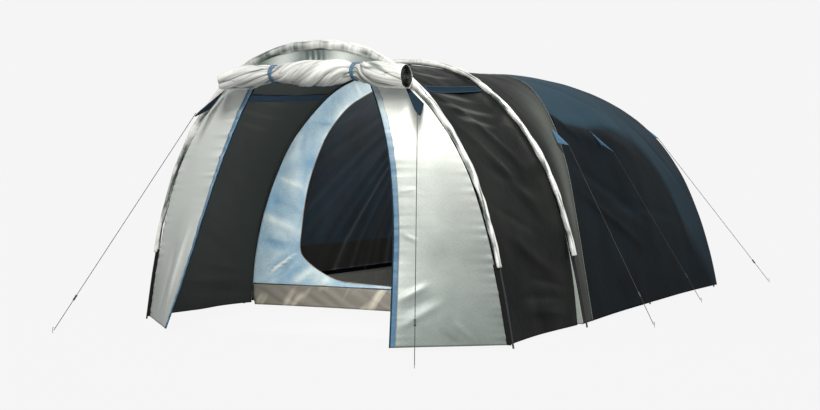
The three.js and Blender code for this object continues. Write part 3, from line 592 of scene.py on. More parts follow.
# Painted light: the roof above the turn line is painted lit, less so towards the rear, and raised folds are
# painted lighter; the ripple is random tone.
lit = np.clip((up - crease) / sharp, 0, 1)
painted_light_and_tone = 0.03 + lit * np.interp(y, [2.0, 3.2, 4.0, 4.5], [0.60, 0.46, 0.26, 0.14])
painted_light_and_tone += ripple(y, up, (0.5, 0.25), 0.05, 7) * (0.3 + lit) + 3.0 * np.clip(out, 0, 0.02)
bedroom_fly = cloth_piece("navy_flysheet", press(grid, out), CLOTH, [navy_inside, navy], painted_light_and_tone=painted_light_and_tone)
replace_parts(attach(bedroom_fly, "tent"), "bedroom_canopy")


# ---------- rear wall ----------
# The flysheet's end: navy cloth sewn round the rear hoop and bellied out over the end of the inner tent,
# with soft folds that run from the middle down to the peg loops at the hem.
hem = share_at(HEM_HEIGHT, 4.5, SKIN_INSET)
rim = on_skin(np.linspace(hem, 1 - hem, 201), 4.5)
base = rim[-1] + (rim[0] - rim[-1]) * np.linspace(0, 1, 122)[1:-1, None]
edge = np.vstack([rim, base])
WALL_Y = 4.504
centre = np.array([0, WALL_Y, 0.75])
rings = np.linspace(1, 0.004, 60)
grid = np.stack([centre + (edge - centre) * ring for ring in rings])
bow = 0.21 * np.sin(math.pi / 2 * (1 - rings))[:, None] * np.ones(len(edge))
bow += ripple(grid[..., 0], grid[..., 2], 0.45, 0.014, 8) * np.sin(math.pi * rings)[:, None]
for x in (-0.9, -0.3, 0.35, 0.95):
    bow += fold(grid[..., 0], grid[..., 2], (x * 0.4, 1.1), (x, 0.02), 0.05, 0.012) * (1 - rings[:, None])
grid[..., 1] = WALL_Y + bow
# Painted light: the upper wall and the parts that belly out furthest are painted lighter.
proud = bow - bow.mean(axis=1, keepdims=True)
painted_light_and_tone = 0.06 + 0.18 * np.clip((grid[..., 2] - 0.9) / 0.8, 0, 1) + 4 * proud
rear = cloth_piece("rear_wall_cloth", grid, CLOTH, [navy_inside, navy], wraps=True, painted_light_and_tone=painted_light_and_tone)
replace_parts(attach(rear, "tent"), "rear_wall")


# ---------- pole sleeves ----------
# The front and middle poles run in silver sleeves, sewn on top of the flysheet down to knee height. The
# sleeve is loose round the pole, so it is flattened and wrinkled, and its ends are open. The bedroom and rear
# sleeves are navy and sewn under the flysheet.
def sleeve_piece(name, y, inset, ends, out, back, wide, crinkle, seed, materials):
    """An open fabric tube round a pole's arch. out, back and wide are its half sizes from the pole: the size
    at the ends, what is added at the crown, and the power at which it is added."""
    first = share_at(ends, y, inset)
    shares = np.linspace(first, 1 - first, 421)[:, None]
    turn = np.linspace(0, 2 * math.pi, 36, endpoint=False)[None, :]
    rise = np.sin(math.pi * shares)
    out, back, wide = (least + added * rise**power for least, added, power in (out, back, wide))
    radial = np.where(np.cos(turn) > 0, out * np.cos(turn), back * np.cos(turn))
    depth = wide * np.sin(turn)
    walk = shares * ARCH_LENGTH + 0 * turn
    round_it = np.sin(turn) * 0.05 + 0 * shares
    crumple = ripple(walk, round_it, (0.16, 0.05), crinkle, seed)
    crumple += ripple(walk, round_it, (0.06, 0.03), crinkle * 0.35, seed + 1)
    centre = on_arch(shares, y, inset - radial - crumple * np.cos(turn))
    centre[..., 1] += depth + crumple * np.sin(turn) * 0.8
    # Painted light: the outer side and raised crumples are painted lighter, the streaks paint shaded gathers
    # across the front, and a painted shade runs along a wandering hollow.
    streaks = ripple(walk, round_it, (0.006, 0.2), 0.5, seed + 2)
    front_face = np.clip(-np.sin(turn), 0, 1) * rise**4
    painted_light_and_tone = 0.66 + 0.40 * np.cos(turn) + crumple / crinkle * 1.1
    painted_light_and_tone += streaks * (0.32 + 0.35 * front_face)
    wander = ripple(walk, 0 * round_it, (0.14, 1.0), 0.9, seed + 3)
    from_painted_hollow = np.mod(turn + 0.75 + wander + math.pi, 2 * math.pi) - math.pi
    painted_light_and_tone -= 0.55 * np.exp(-((from_painted_hollow / 0.32) ** 2))
    return cloth_piece(name, centre, 0.001, materials, wraps=True, painted_light_and_tone=painted_light_and_tone)


silver = coated_polyester("silver_polyester", "5C6664", "F7FBF7", 0.40, 0.35, 0.05, 0.6, 0.2)
sleeve_silver = coated_polyester("silver_sleeve_polyester", "59645F", "FFFFFD", 0.22, 0.7, 0.25, 0.3, 0.35)
SILVER_SLEEVES = {
    "front": (0, (0.012, 0.018, 3), (0.014, 0.024, 3), (0.017, 0.006, 1), 11, (0.16, 4.1)),
    "middle": (1.175, (0.013, 0.008, 1), (0.016, 0.006, 1), (0.016, 0.002, 1), 14, (0.14, 4.0)),
}
SLIM, FLAT_SLIM = (0.011, 0, 1), (0.014, 0, 1)
for hoop, (y, out, back, wide, seed, cut) in SILVER_SLEEVES.items():
    sleeve = sleeve_piece(f"{hoop}_pole_sleeve", y, 0, 0.5, out, back, wide, 0.009, seed, [sleeve_silver])
    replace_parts(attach(sleeve, "tent"), f"{hoop}_sleeve")
for hoop, y in (("bedroom", 2.8), ("rear", 4.48)):
    sleeve = sleeve_piece(f"{hoop}_pole_sleeve", y, INSIDE_INSET, 0.3, SLIM, SLIM, FLAT_SLIM, 0.002, 17,
                          [navy_inside])
    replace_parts(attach(sleeve, "tent"), f"{hoop}_sleeve")


# ---------- wings of the porch ----------
# The front of the porch on each side of the doorway: silver cloth from the front hoop to a leaning door
# edge, which bellies forward at the ground. The zip tape along that edge is bound in light blue webbing.
DOOR_EDGE = [(0.898, -0.481, 0.020), (0.834, -0.345, 0.400), (0.768, -0.222, 0.800), (0.673, -0.122, 1.200),
             (0.564, -0.062, 1.500), (0.464, -0.028, 1.700), (0.419, -0.016, 1.778)]
door_edge = smooth_line(DOOR_EDGE)
# Folds of each wing, over the distance from the door edge and the height.
WING_FOLDS = {
    "right": (((0.00, 0.97), (0.16, 0.985), 0.008, 0.008), ((0.00, 0.28), (0.24, 0.40), 0.022, 0.007),
              ((0.00, 0.20), (0.30, 0.34), 0.03, -0.0028), ((0.02, 0.12), (0.34, 0.30), 0.022, 0.0026),
              ((0.38, 0.18), (0.55, 0.03), 0.02, 0.0032), ((0.30, 0.12), (0.44, 0.02), 0.018, -0.0030),
              ((0.05, 0.70), (0.16, 0.66), 0.012, 0.0025), ((0.40, 0.55), (0.48, 0.20), 0.04, 0.0015)),
    "left": (((0.16, 0.75), (0.22, 0.05), 0.035, 0.014), ((0.30, 0.60), (0.40, 0.05), 0.035, -0.012),
             ((0.07, 0.50), (0.10, 0.05), 0.03, -0.010)),
}
# Painted light on each wing: how light it is painted over its height, lit towards the top, and how much
# lighter where a fold stands out.
WING_PAINTED_LIGHT = {
    "right": ([0, 0.35, 0.8, 1.1, 1.35, 1.77], [0.06, 0.14, 0.24, 0.44, 1.0, 1.0], 5),
    "left": ([0, 0.5, 1.2, 1.77], [0.40, 0.50, 0.60, 0.68], 8),
}


def wing_grid(side, shares, heights):
    """Points of a wing at shares from the hoop to the door edge, over heights."""
    hoop = np.array([on_arch(share_at(z, 0, 0.031), 0, 0.031) for z in heights])
    hoop[:, 1] = -0.006
    edge = np.stack([np.interp(heights, door_edge[:, 2], door_edge[:, k]) for k in range(3)], axis=1)
    grid = hoop[:, None] + (edge - hoop)[:, None] * shares[..., None]
    return grid * (side, 1, 1)


def webbing(name, shade, lit, gloss=0.2):
    """Woven polyester tape: matt, with diagonal ribs, paler in random worn patches, and with light painted in
    from the cloth's attribute.
    """
    material = new_material(name)
    cloth = node(material, "ShaderNodeUVMap", uv_map="cloth").outputs[0]
    ribs = node(material, "ShaderNodeTexWave", {"Vector": cloth, "Scale": 1 / 0.006 / 6.28 * 3.14,
                                                "Distortion": 3.0, "Detail Scale": 60.0},
                bands_direction="DIAGONAL")
    patches = node(material, "ShaderNodeTexNoise", {"Vector": cloth, "Scale": 1 / 0.02, "Detail": 4.0})
    worn = node(material, "ShaderNodeMapRange", {"Value": patches.outputs["Fac"], "To Max": 0.22})
    # Painted light from the cloth's attribute is added to the worn ribs.
    painted_light_and_tone = node(material, "ShaderNodeAttribute", attribute_name="painted_light_and_tone").outputs["Fac"]
    shares = node(material, "ShaderNodeMath", {0: ribs.outputs["Fac"], 1: worn.outputs[0], 2: painted_light_and_tone},
                  operation="MULTIPLY_ADD", use_clamp=True)
    shown = node(material, "ShaderNodeMix", {"Factor": shares.outputs[0], 6: colour(shade), 7: colour(lit)},
                 data_type="RGBA")
    relief = node(material, "ShaderNodeBump", {"Height": ribs.outputs["Fac"], "Strength": 0.6,
                                               "Distance": 0.001})
    return finish_material(material, node(material, "ShaderNodeBsdfPrincipled", {
        "Base Color": shown.outputs[2], "Normal": relief.outputs[0], "Roughness": 0.8,
        "Specular IOR Level": gloss}))


blue_webbing = webbing("light_blue_webbing", "365F7E", "D2E2EA")
dark_webbing = webbing("navy_webbing", "10222F", "27455C")
black_webbing = webbing("black_webbing", "141414", "242424")
heights = np.linspace(HEM_HEIGHT, 1.774, 150)
for name, side in (("left", -1), ("right", 1)):
    whole = wing_grid(1, np.broadcast_to(np.array([0.0, 1.0]), (150, 2)), heights)
    span = np.linalg.norm(whole[:, 1] - whole[:, 0], axis=1)
    binding_width = np.interp(heights, [0, 0.9, 1.4, 1.78], [0.027, 0.030, 0.038, 0.044])
    cloth_end = 1 - (binding_width + 0.001) / span
    shares = np.linspace(0, 1, 90)[None, :] * cloth_end[:, None]
    grid = wing_grid(side, shares, heights)
    from_edge = (1 - shares) * span[:, None]
    z = np.broadcast_to(heights[:, None], shares.shape)
    out = ripple(from_edge, z, (0.30, 0.6), 0.006, 20 + side) * np.sin(math.pi * shares) ** 0.5
    puckers = ripple(from_edge * 0 + side, z, (1, 0.022), 0.010, 24)
    puckers = puckers + ripple(from_edge * 0, z, (1, 0.06), 0.009, 25)
    out += puckers * np.exp(-((from_edge - binding_width[:, None]) / 0.07)) * np.clip((z - 0.65) * 3, 0.15, 1)
    at_hoop = np.clip(shares * span[:, None], 0, None)
    out += ripple(at_hoop * 0, z, (1, 0.03), 0.006, 27) * np.exp(-at_hoop / 0.05)
    for start, end, width, depth in WING_FOLDS[name]:
        out += fold(from_edge, z, start, end, width, depth)
    grid = press(grid, -side * out)
    # Painted light: the wing is painted lighter towards the top and on raised folds.
    lit_heights, painted_lights, fold_highlight = WING_PAINTED_LIGHT[name]
    painted_light_and_tone = np.interp(z, lit_heights, painted_lights) + fold_highlight * out
    wing = cloth_piece(f"{name}_porch_wing", grid, CLOTH, [silver], painted_light_and_tone=painted_light_and_tone)
    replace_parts(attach(wing, "tent"), f"{name}_wing")
    binding_shares = 1 - np.linspace(1, 0, 9)[None, :] * (binding_width / span)[:, None]
    tape = wing_grid(side, binding_shares, heights)
    rounded = 0.003 * np.sin(math.pi * np.linspace(0, 1, 9))[None, :] + puckers[:, -1:] * 0.4
    # Painted highlight: the binding is painted paler towards its top, far more on the right, and on its
    # raised puckers.
    fade_and_highlight = np.interp(heights, [0.5, 1.2, 1.5], [0.0, 0.12, 0.80 if side > 0 else 0.10])[:, None]
    binding = cloth_piece(f"{name}_door_edge_tape", press(tape, -side * rounded), 0.003, [blue_webbing],
                          painted_light_and_tone=fade_and_highlight + puckers[:, -1:] * 14)
    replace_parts(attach(binding, "tent"), f"{name}_door_binding")
    zip_shares = 1 + np.linspace(-0.004, 0.012, 5)[None, :] / span[:, None]
    zip_half = wing_grid(side, zip_shares, heights) + (0, 0.0045, 0)
    zip_half = cloth_piece(f"{name}_zip_half", zip_half, 0.0022, [dark_webbing])
    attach(zip_half, "tent")

    # The foot of the front hoop: a black strap from the wing to the pole below the sleeve's end.
    low_heights = np.linspace(HEM_HEIGHT, 0.52, 40)
    strap = np.array([[on_arch(share_at(z, 0, 0.031), 0, 0.031) + (reach, -0.010, 0)
                       for reach in np.linspace(-0.006, 0.026, 6)] for z in low_heights])
    strap = cloth_piece(f"{name}_foot_strap", strap * (side, 1, 1), 0.002, [black_webbing])
    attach(strap, "tent")


# ---------- header over the doorway ----------
# A silver panel that closes the top of the front hoop, from the sleeve down to the rolled door. It is cut a
# little full, so it gathers in the middle above the roll.
u = np.linspace(-1, 1, 121)[None, :]
v = np.linspace(0, 1, 24)[:, None]
HEADER_HALF, HEADER_FOOT = 0.545, 1.794
x = HEADER_HALF * u + 0 * v
top = np.interp(-x, -arch[:, 0], arch[:, 1]) - 0.034
grid = np.stack([x, -0.034 + 0.028 * v + 0 * x, HEADER_FOOT + (top - HEADER_FOOT) * v], axis=-1)
out = ripple(x, grid[..., 2], (0.12, 0.08), 0.008, 31) * np.sin(math.pi * v)
gathers = np.sin(x / 0.0075 + 3 * v) * np.exp(-(((x - 0.02) / 0.075) ** 2)) * np.sin(math.pi * v) ** 0.5
# Painted light: highlights either side of the middle and on raised bulges, and painted shade in the gathers
# and the middle.
painted_light_and_tone = 0.04 + 0.45 * np.exp(-(((np.abs(x) - 0.24) / 0.11) ** 2)) - 0.35 * np.clip(gathers, 0, 1) + 10 * out
painted_light_and_tone -= 0.10 * np.exp(-(((x - 0.02) / 0.09) ** 2))
header = cloth_piece("porch_header_cloth", press(grid, -out - 0.008 * gathers), CLOTH, [silver], painted_light_and_tone=painted_light_and_tone)
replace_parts(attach(header, "tent"), "porch_header")


# ---------- rolled-up door ----------
# The porch door, rolled tightly into a bundle as thick as an arm under the header. Two blue webbing ties
# pinch it, so the cloth swells and twists between them, and its ends show the turns of the roll. The tables
# give the roll's radius, height and twist over x.
ROLL_LEFT, ROLL_RIGHT, ROLL_Y, ROLL_Z = -0.668, 0.806, -0.128, 1.723
TIE_LEFT, TIE_RIGHT = -0.229, 0.423
ROLL_TURNS = 4.4
ROLL_PROFILE = [(-0.668, 0.058), (-0.560, 0.071), (-0.440, 0.080), (-0.320, 0.066), (-0.229, 0.050),
                (-0.130, 0.066), (0.020, 0.082), (0.180, 0.084), (0.320, 0.070), (0.423, 0.049),
                (0.500, 0.070), (0.600, 0.086), (0.700, 0.084), (0.806, 0.074)]
ROLL_HANG = [(-0.668, -0.006), (-0.440, 0.016), (-0.229, 0.030), (0.100, 0.024), (0.423, 0.022),
             (0.620, -0.004), (0.806, -0.024)]
ROLL_TWIST = [(-0.668, 0.0), (-0.229, 0.9), (0.020, 2.9), (0.423, 5.6), (0.560, 4.0), (0.806, 3.2)]


def along_roll(table, x):
    """A value from a table of places on the roll and values, on a smooth line."""
    line = smooth_line(table)
    return np.interp(x, line[:, 0], line[:, 1])


def satin_folds(x, twist, length, girth_of_fold, seed):
    """Rounded lobes with sharp valleys between them, on a cylinder: 0 in a valley and about 1 on a lobe."""
    x, twist = np.broadcast_arrays(x, twist)
    size = 0.075 / girth_of_fold
    places = zip(np.ravel(x / length), np.ravel(np.cos(twist) * size),
                 np.ravel(np.sin(twist) * size + seed * 5.1))
    return np.abs(np.reshape([noise.noise(Vector(place)) for place in places], x.shape)) * 2.2


x = np.linspace(ROLL_LEFT, ROLL_RIGHT, 300)[:, None]
turn = np.linspace(0, 2 * math.pi, 144, endpoint=False)[None, :]
twist = turn + along_roll(ROLL_TWIST, x)
near_tie = np.exp(-(((x - TIE_LEFT) / 0.038) ** 2)) + np.exp(-(((x - TIE_RIGHT) / 0.038) ** 2))
broad = satin_folds(x, twist, 0.46, 0.085, 4)
small = satin_folds(x, twist, 0.26, 0.040, 6)
pleats = np.cos(twist * 13) * near_tie
relief = 0.013 * (broad - 0.45) * (1 - 0.7 * near_tie) + 0.004 * (small - 0.45) * (1 - 0.4 * near_tie)
relief = relief + 0.0022 * pleats
radius = along_roll(ROLL_PROFILE, x) + relief
roll_z = ROLL_Z + along_roll(ROLL_HANG, x)
grid = np.stack([x + 0 * turn, ROLL_Y - radius * np.sin(turn), roll_z + radius * np.cos(turn)], axis=-1)
# Painted light and shade: the valleys between lobes and the pleats at the ties are painted dark, and the tops
# of the broad lobes are painted as highlights.
painted_light_and_tone = 0.74 - 0.62 * np.exp(-((broad / 0.10) ** 2)) - 0.34 * np.exp(-((small / 0.09) ** 2))
painted_light_and_tone -= 0.3 * np.clip(pleats, 0, 1)
painted_light_and_tone += 0.9 * np.clip(broad - 0.55, 0, 0.5) + 0.25 * np.clip(small - 0.6, 0, 0.5)
roll = cloth_piece("rolled_door", grid, 0.002, [sleeve_silver], wraps=True, painted_light_and_tone=painted_light_and_tone)
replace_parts(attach(roll, "tent"), "door_roll")
ends = []
for name, end, away in (("left", ROLL_LEFT, -1), ("right", ROLL_RIGHT, 1)):
    widest = along_roll(ROLL_PROFILE, end) - 0.004
    middle_z = ROLL_Z + along_roll(ROLL_HANG, end)
    loops = np.linspace(0, ROLL_TURNS * 2 * math.pi, 420)
    wobble = 1 + 0.07 * np.sin(loops * 2.3) * (1 - loops / loops[-1])
    growing = (0.006 + (widest - 0.006) * loops / loops[-1]) * wobble
    strip = [[end - away * depth + 0.003 * np.sin(loops * 1.7), ROLL_Y - growing * np.sin(loops),
              middle_z + growing * np.cos(loops)] for depth in (-0.002, 0.012, 0.03)]
    strip = np.stack(strip).transpose(0, 2, 1)
    turns = cloth_piece(f"roll_end_{name}", strip, 0.0016, [charcoal_inside], painted_light_and_tone=0.5)
    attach(turns, "tent")
    discs = np.stack([np.stack([end - away * 0.014 + 0 * turn[0], ROLL_Y - ring * np.sin(turn[0]),
                                middle_z + ring * np.cos(turn[0])], axis=1)
                      for ring in np.linspace(0.001, widest, 10)])
    packed = cloth_piece(f"roll_core_{name}", discs, 0.001, [charcoal], wraps=True)
    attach(packed, "tent")
    ends += [turns, packed]

# Each tie is two turns of narrow blue webbing round the roll, side by side.
for name, x in (("left", TIE_LEFT), ("right", TIE_RIGHT)):
    middle_z = ROLL_Z + along_roll(ROLL_HANG, x)
    for part, shift in (("inner", -0.0075), ("outer", 0.0075)):
        across = np.linspace(-0.0055, 0.0055, 5)[:, None]
        radius = along_roll(ROLL_PROFILE, x + shift) + 0.0095 + 0.0010 * np.cos(turn * 5 + shift * 900)
        radius = radius - 0.002 * (across / 0.0055) ** 2
        band = np.stack([x + shift + across + 0.004 * np.sin(turn + shift * 200),
                         ROLL_Y - radius * np.sin(turn),
                         middle_z + radius * np.cos(turn)], axis=-1)
        tie = cloth_piece(f"{name}_roll_tie_{part}", band, 0.003, [blue_webbing], wraps=True)
        if part == "inner":
            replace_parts(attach(tie, "tent"), f"door_tie_{name}")
        else:
            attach(tie, "tent")


# ---------- tapes on the porch skin ----------
# Navy webbing sewn flat on the flysheet: a band just behind the front hoop, and a strip along each side of
# the roof, which carries the inside hanging rail and ends in a rounded tongue.
def skin_tape(name, middle, half, ys, out, thickness, material):
    """A tape along the flysheet: its middle share and half width over its y values."""
    shares = middle[:, None] + half[:, None] * np.linspace(-1, 1, 9)[None, :]
    grid = on_skin(shares, ys[:, None] + 0 * shares, out)
    return cloth_piece(name, grid, thickness, [material])


hem = share_at(HEM_HEIGHT, 0, SKIN_INSET)
grid = on_skin(np.linspace(hem, 1 - hem, 261)[None, :], np.linspace(0.032, 0.084, 7)[:, None], 0.004)
band = cloth_piece("front_hoop_band", grid, 0.0012, [dark_webbing])
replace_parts(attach(band, "tent"), "front_band")
for name, side in (("left", -1), ("right", 1)):
    ys = np.concatenate([0.200 + 0.060 * np.linspace(0, 1, 24) ** 2, np.linspace(0.27, 1.14, 50)])
    strip_heights = np.interp(ys, [0.2, 0.6, 1.14], [1.640, 1.662, 1.688])
    middle = np.array([share_at(height, y, SKIN_INSET) for height, y in zip(strip_heights, ys)])
    tongue = np.sqrt(np.clip(1 - (1 - np.clip((ys - 0.199) / 0.060, 0, 1)) ** 2, 0, 1))
    half = 0.033 / ARCH_LENGTH * tongue
    side_of = middle if side > 0 else 1 - middle
    strip = skin_tape(f"roof_strip_{name}_webbing", side_of, half, ys, 0.0055, 0.0022, dark_webbing)
    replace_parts(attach(strip, "tent"), f"roof_strip_{name}")

    # The strip's stitched border, the loop that hangs from its tongue, and the same tape seen from inside.
    border = np.stack([on_skin(side_of + edge * half * 0.93, ys, 0.0075) for edge in (-1, 1)])
    outline = row_frame(np.vstack([border[0][::-1], border[1]]))
    piping = swept_tube(f"roof_strip_{name}_piping", outline, [0.0022] * len(outline), 8, blue_webbing)
    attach(piping, "tent")
    bend = np.linspace(0, 1, 40)
    loop_y = 0.235 - 0.055 * np.sin(math.pi * bend) + 0.05 * bend
    loop_middle = side_of[0] + (-1 if side > 0 else 1) * (0.010 + 0.085 * bend) / ARCH_LENGTH
    loop = skin_tape(f"roof_strip_{name}_loop", loop_middle, np.full(40, 0.009 / ARCH_LENGTH), loop_y, 0.004,
                     0.002, black_webbing)
    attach(loop, "tent")
    inner_ys = np.linspace(0.03, 1.14, 60)
    inner_middle = np.array([share_at(1.622 + 0.045 * y, y, SKIN_INSET) for y in inner_ys])
    lining = skin_tape(f"roof_strip_{name}_lining", inner_middle if side > 0 else 1 - inner_middle,
                       np.full(60, 0.037 / ARCH_LENGTH), inner_ys, -0.008, 0.002, dark_webbing)
    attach(lining, "tent")


# ---------- front wall of the inner tent ----------
# Light blue breathable nylon with a D-shaped doorway. Its foot stands on the groundsheet's wall, and the
# cloth is pulled into hard wrinkles at the lower corners of the door, which is piped in beige.
INNER_OUTLINE = [(1.405, 0.176), (1.378, 0.400), (1.303, 0.723), (1.190, 1.015), (1.030, 1.304),
                 (0.862, 1.492), (0.655, 1.672), (0.480, 1.764), (0.250, 1.830), (0.0, 1.855)]
# Wrinkles of the right half, which the left one mirrors: from x and z to x and z, then width and depth.
PUCKERS = ((0.97, 0.44, 1.30, 0.24, 0.016, 0.024), (0.97, 0.42, 1.28, 0.19, 0.012, -0.024),
           (0.96, 0.47, 1.38, 0.52, 0.030, -0.014), (0.95, 0.60, 1.36, 0.75, 0.035, 0.014),
           (0.92, 0.75, 1.30, 0.85, 0.020, -0.014), (0.84, 0.33, 1.05, 0.17, 0.030, 0.014),
           (0.70, 0.25, 0.80, 0.17, 0.025, 0.012), (0.90, 0.95, 1.18, 1.05, 0.016, 0.012),
           (0.62, 1.45, 0.86, 1.50, 0.014, -0.012), (0.35, 1.66, 0.42, 1.80, 0.014, 0.012),
           (0.97, 0.48, 1.30, 0.30, 0.012, -0.016), (0.90, 0.36, 1.12, 0.22, 0.012, -0.014))
HARD_CREASES = ((0.985, 0.462, 1.14, 0.392), (1.11, 0.415, 1.27, 0.245), (0.975, 0.440, 1.10, 0.350),
                (1.08, 0.372, 1.23, 0.225))
CREASE_WIDTH = 0.006
DOORWAY = [(0.0, 0.190), (0.435, 0.208), (0.640, 0.228), (0.838, 0.320), (0.952, 0.420), (0.966, 0.480),
           (0.947, 0.633), (0.914, 0.826), (0.861, 1.017), (0.780, 1.208), (0.671, 1.395), (0.488, 1.579),
           (0.320, 1.672), (0.160, 1.730), (0.0, 1.752)]


def on_inner_front(flat):
    """Puts x and z points on the wall, which bows back in the middle of its foot."""
    x, z = flat[..., 0], flat[..., 1]
    return np.stack([x, 1.158 + 0.130 * (1 - (x / 1.405) ** 2) * (1 - z / 1.855), z], axis=-1)


def breathable_nylon(name, shade, lit, crumple):
    """Uncoated nylon: dull and slightly fluffy, with pale flecks 3 mm long where threads cross, and light and
    shade painted in from the cloth's attribute.
    """
    material = new_material(name)
    cloth = node(material, "ShaderNodeTexCoord").outputs["Object"]
    patches = node(material, "ShaderNodeTexNoise", {"Vector": cloth, "Scale": 1 / 0.25, "Detail": 5.0})
    flecks = node(material, "ShaderNodeTexNoise", {"Vector": cloth, "Scale": 1 / 0.005, "Detail": 2.0})
    crumples = node(material, "ShaderNodeTexNoise", {"Vector": cloth, "Scale": 1 / 0.10, "Detail": 3.0,
                                                     "Distortion": 1.0})
    both = node(material, "ShaderNodeMath", {0: patches.outputs["Fac"], 1: flecks.outputs["Fac"]},
                operation="MULTIPLY")
    uneven = node(material, "ShaderNodeMapRange", {"Value": both.outputs[0], "From Min": 0.12,
                                                   "From Max": 0.42, "To Max": 0.5})
    # Painted light and shade from the cloth's attribute.
    painted_light_and_tone = node(material, "ShaderNodeAttribute", attribute_name="painted_light_and_tone").outputs["Fac"]
    share = node(material, "ShaderNodeMath", {0: uneven.outputs[0], 1: painted_light_and_tone}, operation="ADD", use_clamp=True)
    shown = node(material, "ShaderNodeMix", {"Factor": share.outputs[0], 6: colour(shade), 7: colour(lit)},
                 data_type="RGBA")
    small = node(material, "ShaderNodeBump", {"Height": flecks.outputs["Fac"], "Strength": 0.4,
                                              "Distance": 0.001})
    relief = node(material, "ShaderNodeBump", {"Height": crumples.outputs["Fac"], "Strength": crumple,
                                               "Distance": 0.012, "Normal": small.outputs[0]})
    return finish_material(material, node(material, "ShaderNodeBsdfPrincipled", {
        "Base Color": shown.outputs[2], "Normal": relief.outputs[0], "Roughness": 0.75,
        "Specular IOR Level": 0.25, "Sheen Weight": 0.25, "Sheen Roughness": 0.4}))


light_nylon = breathable_nylon("light_blue_nylon", "6590AC", "E4ECE4", 0.5)
side = smooth_line(INNER_OUTLINE)
foot = np.stack([np.linspace(0, side[0, 0], 60, endpoint=False), np.full(60, side[0, 1])], axis=1)
half = np.vstack([foot, evenly(side, 121)])
doorway = evenly(smooth_line(DOORWAY), len(half))
outline = np.vstack([half, half[-2:0:-1] * (-1, 1)])
doorway = np.vstack([doorway, doorway[-2:0:-1] * (-1, 1)])
rings = np.linspace(0, 1, 36)[:, None, None]
flat = outline[None] + (doorway - outline)[None] * rings
grid = on_inner_front(flat)
x, z = flat[..., 0], flat[..., 1]
out = ripple(x, z, (0.22, 0.30), 0.014, 51) + ripple(x, z, (0.07, 0.10), 0.004, 52)
for s in (-1, 1):
    for x_from, z_from, x_to, z_to, width, depth in PUCKERS:
        out += fold(x, z, (s * x_from, z_from), (s * x_to, z_to), width, depth)
# Painted light: the right side is painted a little lighter, the hard creases are painted dark, and raised
# wrinkles are painted lighter.
shaded = 0.03 * x
for s in (-1, 1):
    for x_from, z_from, x_to, z_to in HARD_CREASES:
        crease = fold(x, z, (s * x_from, z_from), (s * x_to, z_to), CREASE_WIDTH, 1.0)
        out -= 0.007 * crease
        shaded = shaded - 0.8 * crease
calm = np.clip(rings[..., 0] * 6, 0, 1) * np.clip((1 - rings[..., 0]) * 10 + 0.25, 0, 1)
grid[..., 1] -= out * calm
inner_front = cloth_piece("inner_tent_front", grid, CLOTH, [light_nylon], wraps=True,
                          painted_light_and_tone=26 * np.clip(out, -0.016, 0.03) + 0.08 + shaded)
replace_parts(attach(inner_front, "tent"), "inner_front")

piping = webbing("beige_piping", "8C7B68", "BBAE9C")
rim = row_frame(on_inner_front(np.vstack([doorway, doorway[:1]])))
bead = swept_tube("doorway_piping", rim - (0, 0.002, 0), [0.0028] * len(rim), 8, piping)
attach(bead, "tent")


# ---------- groundsheet ----------
# Coated woven polythene, folded up into a tray a hand's width high all round, taupe outside and grey inside.
# Its front wall follows the foot of the inner tent and shows diagonal creases from being packed.
front_x = np.linspace(-1.405, 1.405, 121)
plan = [on_inner_front(np.array([px, 0.0]))[:2] for px in front_x]
TRAY_CORNERS = [(1.345, 1.7), (1.33, 4.29), (1.24, 4.38), (-1.24, 4.38), (-1.33, 4.29), (-1.345, 1.7)]
corners = [plan[-1], *TRAY_CORNERS, plan[0]]
for a, b in zip(corners, corners[1:]):
    plan += [np.add(a, np.subtract(b, a) * s) for s in np.linspace(0, 1, 31)[1:]]
plan = np.array(plan[:-1])
middle = np.array([0, 2.77])
layers = []
FLOOR_Z, TRAY_HALF, TRAY_WALL = 0.0012, 1.345, 0.166
floor_rings = [(inset, FLOOR_Z) for inset in (TRAY_HALF, 0.7, 0.25, 0.012)]
wall_rings = [(0.012 * (1 - s) ** 2, FLOOR_Z + TRAY_WALL * s) for s in np.linspace(0.08, 1, 22)]
for inset, z in floor_rings + wall_rings:
    level = middle + (plan - middle) * max(1 - inset / TRAY_HALF, 0.001)
    layers.append(np.column_stack([level, np.full(len(level), z)]))
grid = np.stack(layers)
x, z = grid[..., 0], grid[..., 2]
creased = ripple(x + z * 1.4, z, (0.10, 0.25), 0.012, 61) + ripple(x + z * 1.8, z, (0.05, 0.3), 0.005, 62)
inward = middle - grid[..., :2]
inward = inward / np.maximum(np.linalg.norm(inward, axis=2, keepdims=True), 1e-9)
on_wall = np.clip(z / 0.03, 0, 1) * np.clip((0.168 - z) / 0.02, 0.2, 1)
grid[..., :2] -= inward * (creased * on_wall)[..., None]


